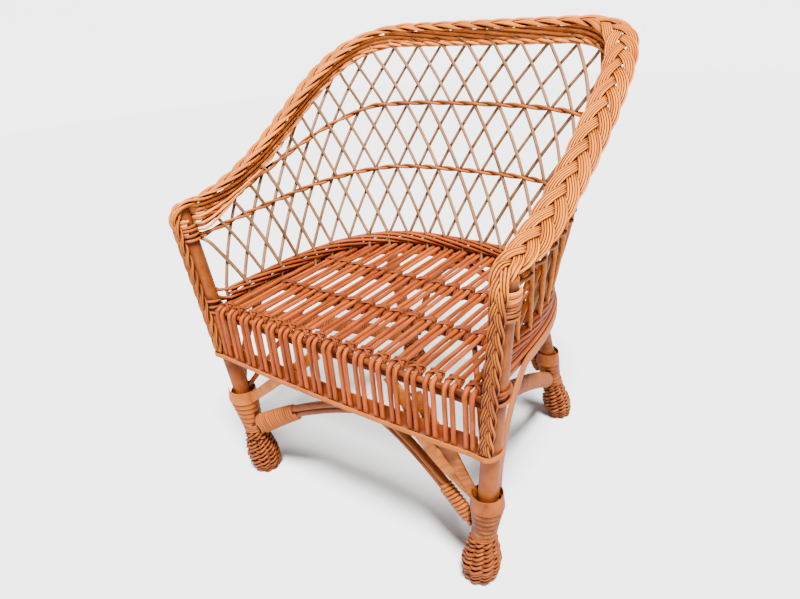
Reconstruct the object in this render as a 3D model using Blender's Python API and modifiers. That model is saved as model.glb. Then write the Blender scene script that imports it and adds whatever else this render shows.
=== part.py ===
"""Willow armchair: rod legs with woven feet, a laid rod seat, a lattice tub wall and a plaited rim.

Metres, +Z up, the front toward -Y, the origin on the floor under the middle of the chair.
"""
import math

import bmesh
import bpy
import numpy as np
from mathutils import Matrix, Vector

# Driving dimensions
CLEARANCE = 0.0003
BEND_CLEARANCE = 0.0008

LEG_RADIUS = 0.0155
FRONT_FOOT_X = 0.268
FRONT_FOOT_Y = -0.2434
FRONT_TOP_X = 0.330
FRONT_TOP_Y = -0.2664
FRONT_LEG_HEIGHT = 0.575
REAR_FOOT_X = 0.204
REAR_FOOT_Y = 0.2486
REAR_TOP_X = 0.178

FOOT_HEIGHT = 0.100
FOOT_RADIUS = 0.0325
FOOT_BULGE_HEIGHT = 0.032
FOOT_SOLE_RADIUS = 0.024
FOOT_NECK_RADIUS = 0.0225
BINDING_TOP = 0.200
BINDING_RADIUS = 0.0245
BINDING_FOOT_RADIUS = 0.0195

SEAT_BAR_Z = 0.385
SEAT_BAR_RADIUS = 0.010
SEAT_SIDE_INSET = 0.0255
SEAT_BACK_Y = 0.1796
SEAT_SQUARENESS = 3.2
HOOP_RADIUS = 0.010
CROSS_BAR_RADIUS = 0.008
CROSS_BAR_SHARES = (0.317, 0.625)

SEAT_PAIRS = 17
SEAT_ROD_RADIUS = 0.0043
PAIR_SPLIT = 0.0038
BEND_STEPS = 3
LASHING_RADIUS = 0.0015
UNLASHED_PAIRS = 1

APRON_Z = 0.298
APRON_SAG = 0.008
APRON_HEIGHT = 0.009
APRON_THICKNESS = 0.003
INNER_APRON_HEIGHT = 0.028
PAIR_TO_PLAIT = 0.003

ARCH_END_Z = 0.135
ARCH_RADIUS = 0.0075
LOWER_ARCH_RADIUS = 0.0065
FRONT_ARCH_ROUNDNESS = 1.4
FRONT_ARCH_CROWN = 0.19
BACK_ARCH_ROUNDNESS = 2.3
STAY_BOW = 0.012
STAY_ROUNDNESS = 2.0
FRONT_ARCH_Z = 0.272
FRONT_ARCH_Y = -0.2374
BRACE_WIDTH = 0.022
BRACE_THICKNESS = 0.005
BRACE_RUN = 0.098
CORNER_BRACE_RADIUS = 0.005
SIDE_STRIP_WIDTH = 0.014
SIDE_STRIP_THICKNESS = 0.004
SIDE_STRIP_HUG_SHARE = 0.8125
SIDE_STRIP_END_SHARE = 0.955

BASE_ROD_RADIUS = 0.004
RIM_SIDE_INSET = 0.004
RIM_BACK_Y = 0.2766
RIM_SQUARENESS = 6.0
ARM_Z = 0.602
BACK_Z = 0.848
RIM_RISE_END = 0.745
RIM_TILT = math.radians(45)
RIM_BAND_HEIGHT = 0.028
RIM_BAND_THICKNESS = 0.007

LATTICE_COLUMNS = 26
LATTICE_ROWS = 9
LATTICE_ROW_EASE = 0.183
LATTICE_ROD = 0.0058
LATTICE_TOP_GAP = 0.0018
LATTICE_SNAP = 0.4
LATTICE_SPARE = 3
LATTICE_LEAST_CELL = 0.001
BAND_ROD_RADIUS = 0.0022
MIDDLE_BAND_ROW = 3
UPPER_BAND_ROW = 6
BAND_UNDER_RIM = 0.018

PLAIT_PERIOD = 0.130
PLAIT_SWAY = 0.0172
PLAIT_DEPTH = 0.0095
PLAIT_STRAND_RADIUS = 0.0061
PLAIT_FLATNESS = 0.75
PLAIT_LEG_SCALE = 0.55
PLAIT_CORNER_RADIUS = 0.030
PLAIT_WIDENING = 0.120

SIDES = {"left": -1, "right": 1}
PATH_SAMPLES = 400
TURN_STEPS = 12
FOOT_RINGS = 6
HOOP_RUNS = 32
STRIP_END_RUNS = 8
APRON_RUNS = 12
ARCH_RUNS = 8
ARCH_FITS = 3
PLAIT_KEYS = 6
CORNER_STEPS = 6
LEG_SAMPLES = 12
ARM_SAMPLES = 90
WELD = 0.00001
SHARP_ANGLE = math.radians(40)
SIX_SIDED = math.cos(math.pi / 6)
FOUR_SIDED = math.cos(math.pi / 4)


# Collections and materials
def collection(name):
    group = bpy.data.collections.new(name)
    bpy.context.scene.collection.children.link(group)
    return group


def material(name, colour, roughness):
    made = bpy.data.materials.new(name)
    made.use_nodes = True
    shader = made.node_tree.nodes["Principled BSDF"]
    shader.inputs["Base Color"].default_value = (*colour, 1.0)
    shader.inputs["Roughness"].default_value = roughness
    shader.inputs["Metallic"].default_value = 0.0
    return made


for old in list(bpy.data.objects):
    bpy.data.objects.remove(old, do_unlink=True)

CHAIR = collection("willow_armchair")
PEELED_ROD = material("peeled_willow_rod", (0.66, 0.30, 0.10), 0.45)
SEAT_ROD = material("stained_seat_rod", (0.62, 0.21, 0.05), 0.42)
SPLIT_CANE = material("split_willow_strip", (0.68, 0.34, 0.13), 0.5)
WOVEN_ROD = material("woven_willow", (0.55, 0.25, 0.09), 0.55)


# Object builders
def add_mesh(name, mesh, finish):
    mesh.shade_smooth()
    mesh.set_sharp_from_angle(angle=SHARP_ANGLE)
    mesh.materials.clear()
    mesh.materials.append(finish)
    made = bpy.data.objects.new(name, mesh)
    CHAIR.objects.link(made)
    return made


def tube_curve(name, points, radius, rounding):
    """A round rod along straight runs between points."""
    curve = bpy.data.curves.new(name, "CURVE")
    curve.dimensions = "3D"
    curve.bevel_depth = radius
    curve.bevel_resolution = rounding
    curve.use_fill_caps = True
    spline = curve.splines.new("POLY")
    spline.points.add(len(points) - 1)
    for target, point in zip(spline.points, points):
        target.co = (*point, 1.0)
    return curve


def rod(name, points, radius, finish, rounding=1):
    curve = tube_curve(name, points, radius, rounding)
    curve.materials.append(finish)
    made = bpy.data.objects.new(name, curve)
    CHAIR.objects.link(made)
    return made


def baked_mesh(name, source):
    """The evaluated mesh of a temporary object, with its loose caps welded."""
    graph = bpy.context.evaluated_depsgraph_get()
    mesh = bpy.data.meshes.new_from_object(source.evaluated_get(graph))
    mesh.name = name
    bpy.data.objects.remove(source, do_unlink=True)
    shape = bmesh.new()
    shape.from_mesh(mesh)
    bmesh.ops.remove_doubles(shape, verts=shape.verts, dist=WELD)
    shape.to_mesh(mesh)
    shape.free()
    return mesh


def turned_mesh(name, profile, steps):
    """A closed profile of (radius, height) points turned about Z."""
    mesh = bpy.data.meshes.new(name)
    shape = bmesh.new()
    corners = [shape.verts.new((radius, 0.0, height)) for radius, height in profile]
    for start, end in zip(corners, corners[1:] + corners[:1]):
        shape.edges.new((start, end))
    shape.to_mesh(mesh)
    shape.free()
    source = bpy.data.objects.new(name, mesh)
    CHAIR.objects.link(source)
    screw = source.modifiers.new("Turn", "SCREW")
    screw.steps = steps
    screw.render_steps = steps
    screw.use_merge_vertices = True
    screw.merge_threshold = WELD
    bpy.context.view_layer.update()
    return baked_mesh(name, source)


def strip(name, first_edge, second_edge, thickness, finish):
    """A flat strip between two edges, thickened to both sides."""
    runs = len(first_edge) - 1
    shape = bmesh.new()
    bmesh.ops.create_grid(shape, x_segments=runs, y_segments=1, size=1.0)
    for vert in shape.verts:
        index = round((vert.co.x + 1.0) / 2.0 * runs)
        edge = first_edge if vert.co.y < 0.0 else second_edge
        vert.co = edge[index]
    mesh = bpy.data.meshes.new(name)
    shape.to_mesh(mesh)
    shape.free()
    made = add_mesh(name, mesh, finish)
    solid = made.modifiers.new("Thickness", "SOLIDIFY")
    solid.thickness = thickness
    solid.offset = 0.0
    solid.use_even_offset = True
    return made


# Plan curves, as functions of a share that runs from -1 at the left front, over 0 at the back, to 1
def plan_curve(half_width, front_y, back_y, squareness):
    angles = np.linspace(0.0, math.pi / 2, PATH_SAMPLES)
    xs = half_width * np.maximum(np.cos(angles), 0.0) ** (2.0 / squareness)
    ys = front_y + (back_y - front_y) * np.sin(angles) ** (2.0 / squareness)
    xs[-1] = 0.0
    steps = np.hypot(np.diff(xs), np.diff(ys))
    along = np.concatenate(([0.0], np.cumsum(steps)))

    def at(share):
        distance = (1.0 - abs(share)) * along[-1]
        x = float(np.interp(distance, along, xs))
        y = float(np.interp(distance, along, ys))
        return Vector((math.copysign(x, share), y, 0.0))

    at.length = 2.0 * along[-1]
    at.half_width_at = lambda y: float(np.interp(y, ys, xs))
    at.back_at = lambda x: float(np.interp(-x, -xs, ys))
    return at


def plan_outward(plan, share):
    step = 0.002
    along = plan(min(share + step, 1.0)) - plan(max(share - step, -1.0))
    return Vector((-along.y, along.x, 0.0)).normalized()


def smooth_step(value):
    value = min(max(value, 0.0), 1.0)
    return value * value * (3.0 - 2.0 * value)


# Legs
def front_leg(side, z):
    share = z / FRONT_LEG_HEIGHT
    x = FRONT_FOOT_X + (FRONT_TOP_X - FRONT_FOOT_X) * share
    y = FRONT_FOOT_Y + (FRONT_TOP_Y - FRONT_FOOT_Y) * share
    return Vector((side * x, y, z))


BAR_Y = front_leg(1, SEAT_BAR_Z).y
SEAT_HALF_WIDTH = front_leg(1, SEAT_BAR_Z).x - SEAT_SIDE_INSET
CROSS_BAR_YS = [BAR_Y + (SEAT_BACK_Y - BAR_Y) * share for share in CROSS_BAR_SHARES]
WALL_FRONT_GAP = LEG_RADIUS + LATTICE_ROD
SEAT_PLAN = plan_curve(SEAT_HALF_WIDTH, BAR_Y + WALL_FRONT_GAP, SEAT_BACK_Y, SEAT_SQUARENESS)
REAR_LEG_HEIGHT = SEAT_BAR_Z - HOOP_RADIUS * SIX_SIDED - CLEARANCE
REAR_TOP_Y = SEAT_PLAN.back_at(REAR_TOP_X)


def rear_leg(side, z):
    share = z / REAR_LEG_HEIGHT
    x = REAR_FOOT_X + (REAR_TOP_X - REAR_FOOT_X) * share
    y = REAR_FOOT_Y + (REAR_TOP_Y - REAR_FOOT_Y) * share
    return Vector((side * x, y, z))


def lean(axis, side):
    """Shears upright geometry onto a leg's axis, which keeps level faces level."""
    foot = axis(side, 0.0)
    slope = axis(side, 1.0) - foot
    return Matrix(((1, 0, slope.x, foot.x), (0, 1, slope.y, foot.y), (0, 0, 1, 0), (0, 0, 0, 1)))


def foot_radius(z):
    """A woven bulb: round from the sole to its widest ring, then drawn in to the neck."""
    if z < FOOT_BULGE_HEIGHT:
        return FOOT_RADIUS - (FOOT_RADIUS - FOOT_SOLE_RADIUS) * (1.0 - z / FOOT_BULGE_HEIGHT) ** 2
    drawn = smooth_step((z - FOOT_BULGE_HEIGHT) / (FOOT_HEIGHT - FOOT_BULGE_HEIGHT))
    return FOOT_RADIUS - (FOOT_RADIUS - FOOT_NECK_RADIUS) * drawn


def leg_set(row, axis, height):
    bore = LEG_RADIUS + CLEARANCE
    foot_profile = [(foot_radius(z), z) for z in np.linspace(FOOT_HEIGHT, 0.0, FOOT_RINGS)]
    foot_profile = [(bore, FOOT_HEIGHT)] + foot_profile + [(bore, 0.0)]
    binding_foot = FOOT_HEIGHT + CLEARANCE
    binding_profile = (
        (bore, BINDING_TOP), (BINDING_RADIUS, BINDING_TOP),
        (BINDING_FOOT_RADIUS, binding_foot), (bore, binding_foot))
    for hand, side in SIDES.items():
        name = f"{row}_{hand}"
        shape = bmesh.new()
        bmesh.ops.create_cone(
            shape, cap_ends=True, segments=TURN_STEPS, radius1=LEG_RADIUS, radius2=LEG_RADIUS, depth=height)
        bmesh.ops.translate(shape, verts=shape.verts, vec=(0.0, 0.0, height / 2))
        post = bpy.data.meshes.new(f"leg_{name}")
        shape.to_mesh(post)
        shape.free()
        foot = turned_mesh(f"woven_foot_{name}", foot_profile, TURN_STEPS)
        binding = turned_mesh(f"leg_binding_{name}", binding_profile, TURN_STEPS)
        for word, mesh, finish in (
                ("leg", post, PEELED_ROD),
                ("woven_foot", foot, WOVEN_ROD),
                ("leg_binding", binding, SPLIT_CANE)):
            mesh.transform(lean(axis, side))
            add_mesh(f"{word}_{name}", mesh, finish)


# Seat frame
def seat_outward(share):
    return plan_outward(SEAT_PLAN, share)


def hoop_shares():
    """Where the bent rods round the seat have their points."""
    return np.linspace(-1.0, 1.0, HOOP_RUNS + 1)


SEAT_ROD_BEND = (SEAT_BAR_RADIUS + SEAT_ROD_RADIUS + CLEARANCE) / math.cos(math.pi / 4 / BEND_STEPS)
SEAT_ROD_Z = SEAT_BAR_Z + SEAT_ROD_BEND
CROSS_BAR_Z = SEAT_ROD_Z - SEAT_ROD_RADIUS - CLEARANCE - CROSS_BAR_RADIUS


def seat_frame():
    reach = abs(front_leg(1, SEAT_BAR_Z - SEAT_BAR_RADIUS).x) - LEG_RADIUS - CLEARANCE
    ends = [Vector((side * reach, BAR_Y, SEAT_BAR_Z)) for side in (-1, 1)]
    rod("seat_front_bar", ends, SEAT_BAR_RADIUS, PEELED_ROD, 3)

    lift = Vector((0.0, 0.0, SEAT_BAR_Z))
    hoop = [SEAT_PLAN(share) + lift for share in hoop_shares()]
    front_y = BAR_Y + SEAT_BAR_RADIUS + CLEARANCE
    hoop.insert(0, Vector((hoop[0].x, front_y, SEAT_BAR_Z)))
    hoop.append(Vector((hoop[-1].x, front_y, SEAT_BAR_Z)))
    rod("seat_hoop", hoop, HOOP_RADIUS, PEELED_ROD)

    for index, y in enumerate(CROSS_BAR_YS, start=1):
        reach = SEAT_PLAN.half_width_at(y + CROSS_BAR_RADIUS) - HOOP_RADIUS - BEND_CLEARANCE
        ends = [Vector((side * reach, y, CROSS_BAR_Z)) for side in (-1, 1)]
        rod(f"seat_cross_bar_{index}", ends, CROSS_BAR_RADIUS, PEELED_ROD, 2)


# Seat rods, each pair one rod folded at the back and bent down over the front bar
PAIR_HALF = SEAT_ROD_RADIUS + PAIR_SPLIT / 2
SKIRT_Y = BAR_Y - SEAT_ROD_BEND
PLAIT_LEG_HALF_WIDTH = (PLAIT_SWAY + PLAIT_STRAND_RADIUS) * PLAIT_LEG_SCALE
OUTER_PAIR_X = (front_leg(1, APRON_Z).x - PLAIT_LEG_HALF_WIDTH - PAIR_TO_PLAIT
                - PAIR_HALF - SEAT_ROD_RADIUS)


def apron_z(x):
    share = x / front_leg(1, APRON_Z).x
    return APRON_Z - APRON_SAG * max(0.0, 1.0 - share * share)


def pair_centres():
    return np.linspace(-OUTER_PAIR_X, OUTER_PAIR_X, SEAT_PAIRS)


def seat_pair_path(centre):
    fold_y = SEAT_PLAN.back_at(min(abs(centre) + PAIR_HALF, SEAT_HALF_WIDTH)) - PAIR_HALF
    foot_z = apron_z(centre) - APRON_HEIGHT / 2

    def run(x):
        points = [Vector((x, SKIRT_Y, foot_z))]
        for step in range(BEND_STEPS + 1):
            angle = math.pi / 2 * step / BEND_STEPS
            y = BAR_Y - SEAT_ROD_BEND * math.cos(angle)
            z = SEAT_BAR_Z + SEAT_ROD_BEND * math.sin(angle)
            points.append(Vector((x, y, z)))
        points.append(Vector((x, fold_y, SEAT_ROD_Z)))
        return points

    depth = PAIR_HALF * math.cos(math.pi / 6)
    turn = [Vector((centre + sign * PAIR_HALF / 2, fold_y + depth, SEAT_ROD_Z)) for sign in (-1, 1)]
    return run(centre - PAIR_HALF) + turn + run(centre + PAIR_HALF)[::-1]


def seat_rods():
    for index, centre in enumerate(pair_centres(), start=1):
        rod(f"seat_pair_{index:02d}", seat_pair_path(centre), SEAT_ROD_RADIUS, SEAT_ROD)


def lashings():
    """Thin rods that hold the pairs down on the cross bars, over each pair and down between pairs."""
    high = SEAT_ROD_Z + SEAT_ROD_RADIUS + LASHING_RADIUS + CLEARANCE
    low = CROSS_BAR_Z + CROSS_BAR_RADIUS + LASHING_RADIUS + CLEARANCE
    over = 2.0 * PAIR_HALF - SEAT_ROD_RADIUS / 4
    for index, y in enumerate(CROSS_BAR_YS, start=1):
        centres = pair_centres()[UNLASHED_PAIRS:-UNLASHED_PAIRS]
        points = []
        for number, x in enumerate(centres):
            if number:
                points.append(Vector(((x + centres[number - 1]) / 2, y, low)))
            points.append(Vector((x - over, y, high)))
            points.append(Vector((x + over, y, high)))
        rod(f"seat_lashing_{index}", points, LASHING_RADIUS, SPLIT_CANE, 0)


# Rim line, wall and plait
RIM_HALF_WIDTH = FRONT_TOP_X - RIM_SIDE_INSET
RIM_FRONT_Y = FRONT_TOP_Y + WALL_FRONT_GAP
RIM_PLAN = plan_curve(RIM_HALF_WIDTH, RIM_FRONT_Y, RIM_BACK_Y, RIM_SQUARENESS)
WALL_BASE_Z = SEAT_ROD_Z + SEAT_ROD_RADIUS + 4.0 * BASE_ROD_RADIUS + 3.0 * CLEARANCE + LATTICE_ROD / 2
PLAIT_HALF_THICKNESS = (PLAIT_DEPTH * SIX_SIDED + PLAIT_STRAND_RADIUS * FOUR_SIDED) * PLAIT_FLATNESS


def rim_point(share):
    """The middle of the plait."""
    point = RIM_PLAN(share)
    point.z = ARM_Z + (BACK_Z - ARM_Z) * smooth_step((1.0 - abs(share)) / RIM_RISE_END)
    return point


def outward(share):
    return plan_outward(RIM_PLAN, share)


def rim_face(share):
    """The way the plait's broad side looks: outward and up."""
    side = outward(share)
    return side * math.cos(RIM_TILT) + Vector((0.0, 0.0, math.sin(RIM_TILT)))


def plait_scale(share):
    """The plait is narrow on the legs and widens along the arms."""
    along = (1.0 - abs(share)) * RIM_PLAN.length / 2
    return PLAIT_LEG_SCALE + (1.0 - PLAIT_LEG_SCALE) * smooth_step(along / PLAIT_WIDENING)


def wall_top(share):
    inset = RIM_BAND_THICKNESS / 2 * math.cos(RIM_TILT) + CLEARANCE
    inset += PLAIT_HALF_THICKNESS * plait_scale(share)
    return rim_point(share) - rim_face(share) * inset


def wall_base(share):
    return SEAT_PLAN(share) + Vector((0.0, 0.0, WALL_BASE_Z))


def wall_slant(share):
    return (wall_top(share) - wall_base(share)).length


def wall_point(share, rise, offset=0.0):
    """A point at a slant height on the wall, moved outward by an offset."""
    base = wall_base(share)
    up = (wall_top(share) - base).normalized()
    point = base + up * rise
    if offset:
        across = outward(share)
        normal = (across - up * across.dot(up)).normalized()
        point = point + normal * offset
    return point


def lattice_height(share):
    """The slant height of the top row, under the rim band, where a sloping rod takes more room."""
    step = 0.01
    run = wall_top(min(share + step, 1.0)) - wall_top(max(share - step, -1.0))
    slope = run.z / math.hypot(run.x, run.y)
    reach = LATTICE_ROD / 2 * math.hypot(1.0, slope)
    return wall_slant(share) - RIM_BAND_HEIGHT - reach - LATTICE_TOP_GAP


def row_rise(row):
    part = row / LATTICE_ROWS
    return lattice_height(0.0) * part * (1.0 + LATTICE_ROW_EASE - LATTICE_ROW_EASE * part)


def column_shares():
    """Where the lattice rods cross along the wall."""
    return np.linspace(-1.0, 1.0, 2 * LATTICE_COLUMNS + 1)


def rim_band():
    shares = column_shares()
    upper = [wall_top(share) for share in shares]
    lower = [wall_point(share, wall_slant(share) - RIM_BAND_HEIGHT) for share in shares]
    strip("rim_stake_band", upper, lower, RIM_BAND_THICKNESS, WOVEN_ROD)


def lattice():
    """Crossing rods: a diamond grid cut to the wall's outline, laid on the wall and made into bars."""
    cells = LATTICE_COLUMNS + LATTICE_ROWS + LATTICE_SPARE
    shape = bmesh.new()
    bmesh.ops.create_grid(shape, x_segments=cells, y_segments=cells, size=cells / 2)
    bmesh.ops.rotate(shape, verts=shape.verts, matrix=Matrix.Rotation(math.pi / 4, 3, "Z"))
    half_diagonal = math.sqrt(0.5)
    bmesh.ops.scale(shape, verts=shape.verts, vec=(1.0 / half_diagonal, 1.0 / half_diagonal, 1.0))
    for side in (-1, 1):
        cut_grid(shape, (side * LATTICE_COLUMNS, 0.0, 0.0), (side, 0.0, 0.0))
    cut_grid(shape, (0.0, 0.0, 0.0), (0.0, -1.0, 0.0))

    snap = row_rise(1) * LATTICE_SNAP
    for vert in shape.verts:
        below = row_rise(vert.co.y) - lattice_height(vert.co.x / LATTICE_COLUMNS)
        vert.co.y = 0.0 if abs(below) < snap else below
    cut_grid(shape, (0.0, 0.0, 0.0), (0.0, 1.0, 0.0))
    flat = [face for face in shape.faces if face.calc_area() < LATTICE_LEAST_CELL]
    bmesh.ops.delete(shape, geom=flat, context="FACES")
    for vert in shape.verts:
        share = vert.co.x / LATTICE_COLUMNS
        rise = max(vert.co.y + lattice_height(share), 0.0)
        vert.co = wall_point(share, rise)
    mesh = bpy.data.meshes.new("wall_lattice")
    shape.to_mesh(mesh)
    shape.free()
    made = add_mesh("wall_lattice", mesh, PEELED_ROD)
    bars = made.modifiers.new("Rods", "WIREFRAME")
    bars.thickness = LATTICE_ROD
    bars.offset = 0.0
    bars.use_boundary = True
    bars.use_replace = True
    bars.use_even_offset = False


def cut_grid(shape, point, normal):
    everything = shape.verts[:] + shape.edges[:] + shape.faces[:]
    bmesh.ops.bisect_plane(
        shape, geom=everything, dist=WELD, plane_co=point, plane_no=normal, clear_outer=True)


def band_rise(share, row, order):
    """Bands keep their row until the rim comes down on them, then follow it in their order."""
    return min(row_rise(row), lattice_height(share) - BAND_UNDER_RIM * order)


def wall_bands():
    offset = LATTICE_ROD / 2 + BAND_ROD_RADIUS + BEND_CLEARANCE
    shares = column_shares()
    for word, row, order in (("upper", UPPER_BAND_ROW, 1), ("middle", MIDDLE_BAND_ROW, 2)):
        for place, sign in (("inner", -1), ("outer", 1)):
            points = [wall_point(share, band_rise(share, row, order), sign * offset) for share in shares]
            rod(f"{word}_band_{place}", points, BAND_ROD_RADIUS, PEELED_ROD, 0)


def base_band():
    first = SEAT_ROD_Z + SEAT_ROD_RADIUS + CLEARANCE + BASE_ROD_RADIUS
    for word, level in (("lower", 0), ("upper", 1)):
        lift = Vector((0.0, 0.0, first + level * (2.0 * BASE_ROD_RADIUS + CLEARANCE)))
        points = [SEAT_PLAN(share) + lift for share in hoop_shares()]
        rod(f"base_band_{word}", points, BASE_ROD_RADIUS, PEELED_ROD, 0)


def plait_path():
    """Centre points, face directions and local scale from the left apron over the rim to the right."""
    leg_half = PLAIT_HALF_THICKNESS * PLAIT_LEG_SCALE
    ahead = Vector((0.0, -(LEG_RADIUS + leg_half + CLEARANCE), 0.0))
    half = []
    for z in np.linspace(APRON_Z, ARM_Z - PLAIT_CORNER_RADIUS, LEG_SAMPLES):
        half.append((front_leg(1, z) + ahead, Vector((0.0, -1.0, 0.0)), PLAIT_LEG_SCALE))
    corner = half[-1][0] + Vector((0.0, PLAIT_CORNER_RADIUS, 0.0))
    start_face = rim_face(1.0)
    for step in range(1, CORNER_STEPS + 1):
        share = step / CORNER_STEPS
        angle = math.pi / 2 * share
        swing = Vector((0.0, -math.cos(angle), math.sin(angle))) * PLAIT_CORNER_RADIUS
        face = Vector((0.0, -1.0, 0.0)).lerp(start_face, share).normalized()
        point = corner + swing
        point.x += (RIM_HALF_WIDTH - point.x) * share
        half.append((point, face, PLAIT_LEG_SCALE))
    for share in np.linspace(1.0, 0.0, ARM_SAMPLES):
        half.append((rim_point(share), rim_face(share), plait_scale(share)))
    mirrored = []
    for point, face, scale in half[:-1]:
        flip = Vector((-1.0, 1.0, 1.0))
        mirrored.append((point * flip, face * flip, scale))
    return mirrored + half[::-1]


def plait():
    path = plait_path()
    points = np.array([point for point, face, scale in path])
    faces = np.array([face for point, face, scale in path])
    scales = np.array([scale for point, face, scale in path])
    steps = np.linalg.norm(np.diff(points, axis=0), axis=1)
    turns = np.concatenate(([0.0], np.cumsum(steps / (scales[1:] + scales[:-1]) * 2.0))) / PLAIT_PERIOD
    whole = math.floor(turns[-1])
    turns = turns * whole / turns[-1]
    tangents = np.gradient(points, axis=0)

    def sample(table, turn):
        return Vector([float(np.interp(turn, turns, table[:, axis])) for axis in range(3)])

    for strand in range(3):
        name = f"rim_plait_strand_{strand + 1}"
        shift = 2.0 * math.pi * strand / 3.0
        line = []
        for key in range(whole * PLAIT_KEYS + 1):
            angle = 2.0 * math.pi * (key + 0.5) / PLAIT_KEYS + shift
            sway = PLAIT_SWAY * math.sin(angle)
            depth = PLAIT_DEPTH * math.sin(2.0 * angle)
            line.append(Vector((key / PLAIT_KEYS * PLAIT_PERIOD, sway, depth)))
        curve = tube_curve(name, line, PLAIT_STRAND_RADIUS, 0)
        source = bpy.data.objects.new(name, curve)
        CHAIR.objects.link(source)
        bpy.context.view_layer.update()
        mesh = baked_mesh(name, source)
        for vert in mesh.vertices:
            turn = vert.co.x / PLAIT_PERIOD
            scale = float(np.interp(turn, turns, scales))
            along = sample(tangents, turn).normalized()
            face = sample(faces, turn)
            face = (face - along * face.dot(along)).normalized()
            across = face.cross(along)
            centre = sample(points, turn)
            vert.co = centre + (across * vert.co.y + face * vert.co.z * PLAIT_FLATNESS) * scale
        add_mesh(name, mesh, WOVEN_ROD)


# Apron, arches, braces and side strip
APRON_GAP = SEAT_ROD_RADIUS + APRON_THICKNESS / 2 + CLEARANCE


def apron():
    reach = OUTER_PAIR_X + PAIR_HALF + SEAT_ROD_RADIUS
    xs = np.linspace(-reach, reach, APRON_RUNS + 1)
    for word, offset, height in (
            ("outer", -APRON_GAP, APRON_HEIGHT), ("inner", APRON_GAP, INNER_APRON_HEIGHT)):
        middle = [Vector((x, SKIRT_Y + offset, apron_z(x))) for x in xs]
        rise = Vector((0.0, 0.0, height / 2))
        upper = [point + rise for point in middle]
        lower = [point - rise for point in middle]
        strip(f"apron_strip_{word}", upper, lower, APRON_THICKNESS, SPLIT_CANE)


def binding_radius(z):
    share = (z - FOOT_HEIGHT) / (BINDING_TOP - FOOT_HEIGHT)
    return BINDING_FOOT_RADIUS + (BINDING_RADIUS - BINDING_FOOT_RADIUS) * share


def arch_path(start, middle, end, roundness, crown=0.0):
    """From start over the middle to the end; the crown is off the middle by a share of the half span."""
    rise = middle - start.lerp(end, (crown + 1.0) / 2)
    points = []
    for step in np.linspace(-1.0, 1.0, ARCH_RUNS + 1):
        span = 1.0 + crown if step < crown else 1.0 - crown
        chord = start.lerp(end, (step + 1.0) / 2)
        points.append(chord + rise * (1.0 - (abs(step - crown) / span) ** roundness))
    return points


def hung_below(points, distance):
    """The same path moved square to itself and downward, its ends run on almost as far as before."""
    moved = []
    for index, point in enumerate(points):
        along = points[min(index + 1, len(points) - 1)] - points[max(index - 1, 0)]
        along.normalize()
        down = along * along.z - Vector((0.0, 0.0, 1.0))
        moved.append(point + down.normalized() * distance)
    for end, inner in ((0, 1), (-1, -2)):
        along = (moved[end] - moved[inner]).normalized()
        level = Vector((along.x, along.y, 0.0))
        short = (points[end] - moved[end]).dot(level.normalized()) - BEND_CLEARANCE
        moved[end] = moved[end] + along * short / level.length
    return moved


def under_rod(name, path):
    """A second rod laid close under the first."""
    lower = hung_below(path, (ARCH_RADIUS + LOWER_ARCH_RADIUS) * SIX_SIDED + BEND_CLEARANCE)
    rod(name, lower, LOWER_ARCH_RADIUS, PEELED_ROD)


def arch_rod(name, leg, middle, roundness, crown=0.0):
    """An arched stretcher between the bindings of a pair of legs."""
    half = ARCH_RADIUS * SIX_SIDED
    contact_z = ARCH_END_Z + half
    start = leg(-1, contact_z)
    end = leg(1, contact_z)
    start.z = ARCH_END_Z
    end.z = ARCH_END_Z
    along = (end - start).normalized()
    path = arch_path(start, middle, end, roundness, crown)
    for _ in range(ARCH_FITS):
        first_rise = (path[1] - path[0]).normalized().z
        last_rise = (path[-2] - path[-1]).normalized().z
        reach = binding_radius(contact_z) + half * max(first_rise, last_rise) + BEND_CLEARANCE
        path = arch_path(start + along * reach, middle, end - along * reach, roundness, crown)
    rod(name, path, ARCH_RADIUS, PEELED_ROD)
    return path


def arches():
    crown_x = FRONT_ARCH_CROWN * front_leg(1, ARCH_END_Z).x
    crown = Vector((crown_x, FRONT_ARCH_Y, FRONT_ARCH_Z))
    path = arch_rod("front_arch_upper", front_leg, crown, FRONT_ARCH_ROUNDNESS, FRONT_ARCH_CROWN)
    under_rod("front_arch_lower", path)
    hoop_under = SEAT_BAR_Z - (HOOP_RADIUS + ARCH_RADIUS) * SIX_SIDED - BEND_CLEARANCE
    arch_rod("back_arch", rear_leg, Vector((0.0, SEAT_BACK_Y, hoop_under)), BACK_ARCH_ROUNDNESS)


def stays():
    """Double rods that brace each rear leg, from its binding forward and up to the seat hoop."""
    half = ARCH_RADIUS * SIX_SIDED
    top_z = SEAT_BAR_Z - HOOP_RADIUS * SIX_SIDED - half - BEND_CLEARANCE
    for hand, side in SIDES.items():
        foot = rear_leg(side, ARCH_END_Z + half)
        foot.z = ARCH_END_Z
        top = front_leg(side, top_z)
        top.y += LEG_RADIUS + 2.0 * ARCH_RADIUS
        top.x = side * SEAT_PLAN.half_width_at(top.y)
        along = (top - foot).normalized()
        level = Vector((along.x, along.y, 0.0)).normalized()
        foot += level * (binding_radius(foot.z + half) + half * along.z + CLEARANCE)
        middle = (foot + top) / 2 + Vector((0.0, 0.0, STAY_BOW))
        path = arch_path(foot, middle, top, STAY_ROUNDNESS)
        rod(f"{hand}_stay_upper", path, ARCH_RADIUS, PEELED_ROD)
        under_rod(f"{hand}_stay_lower", path)


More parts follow.
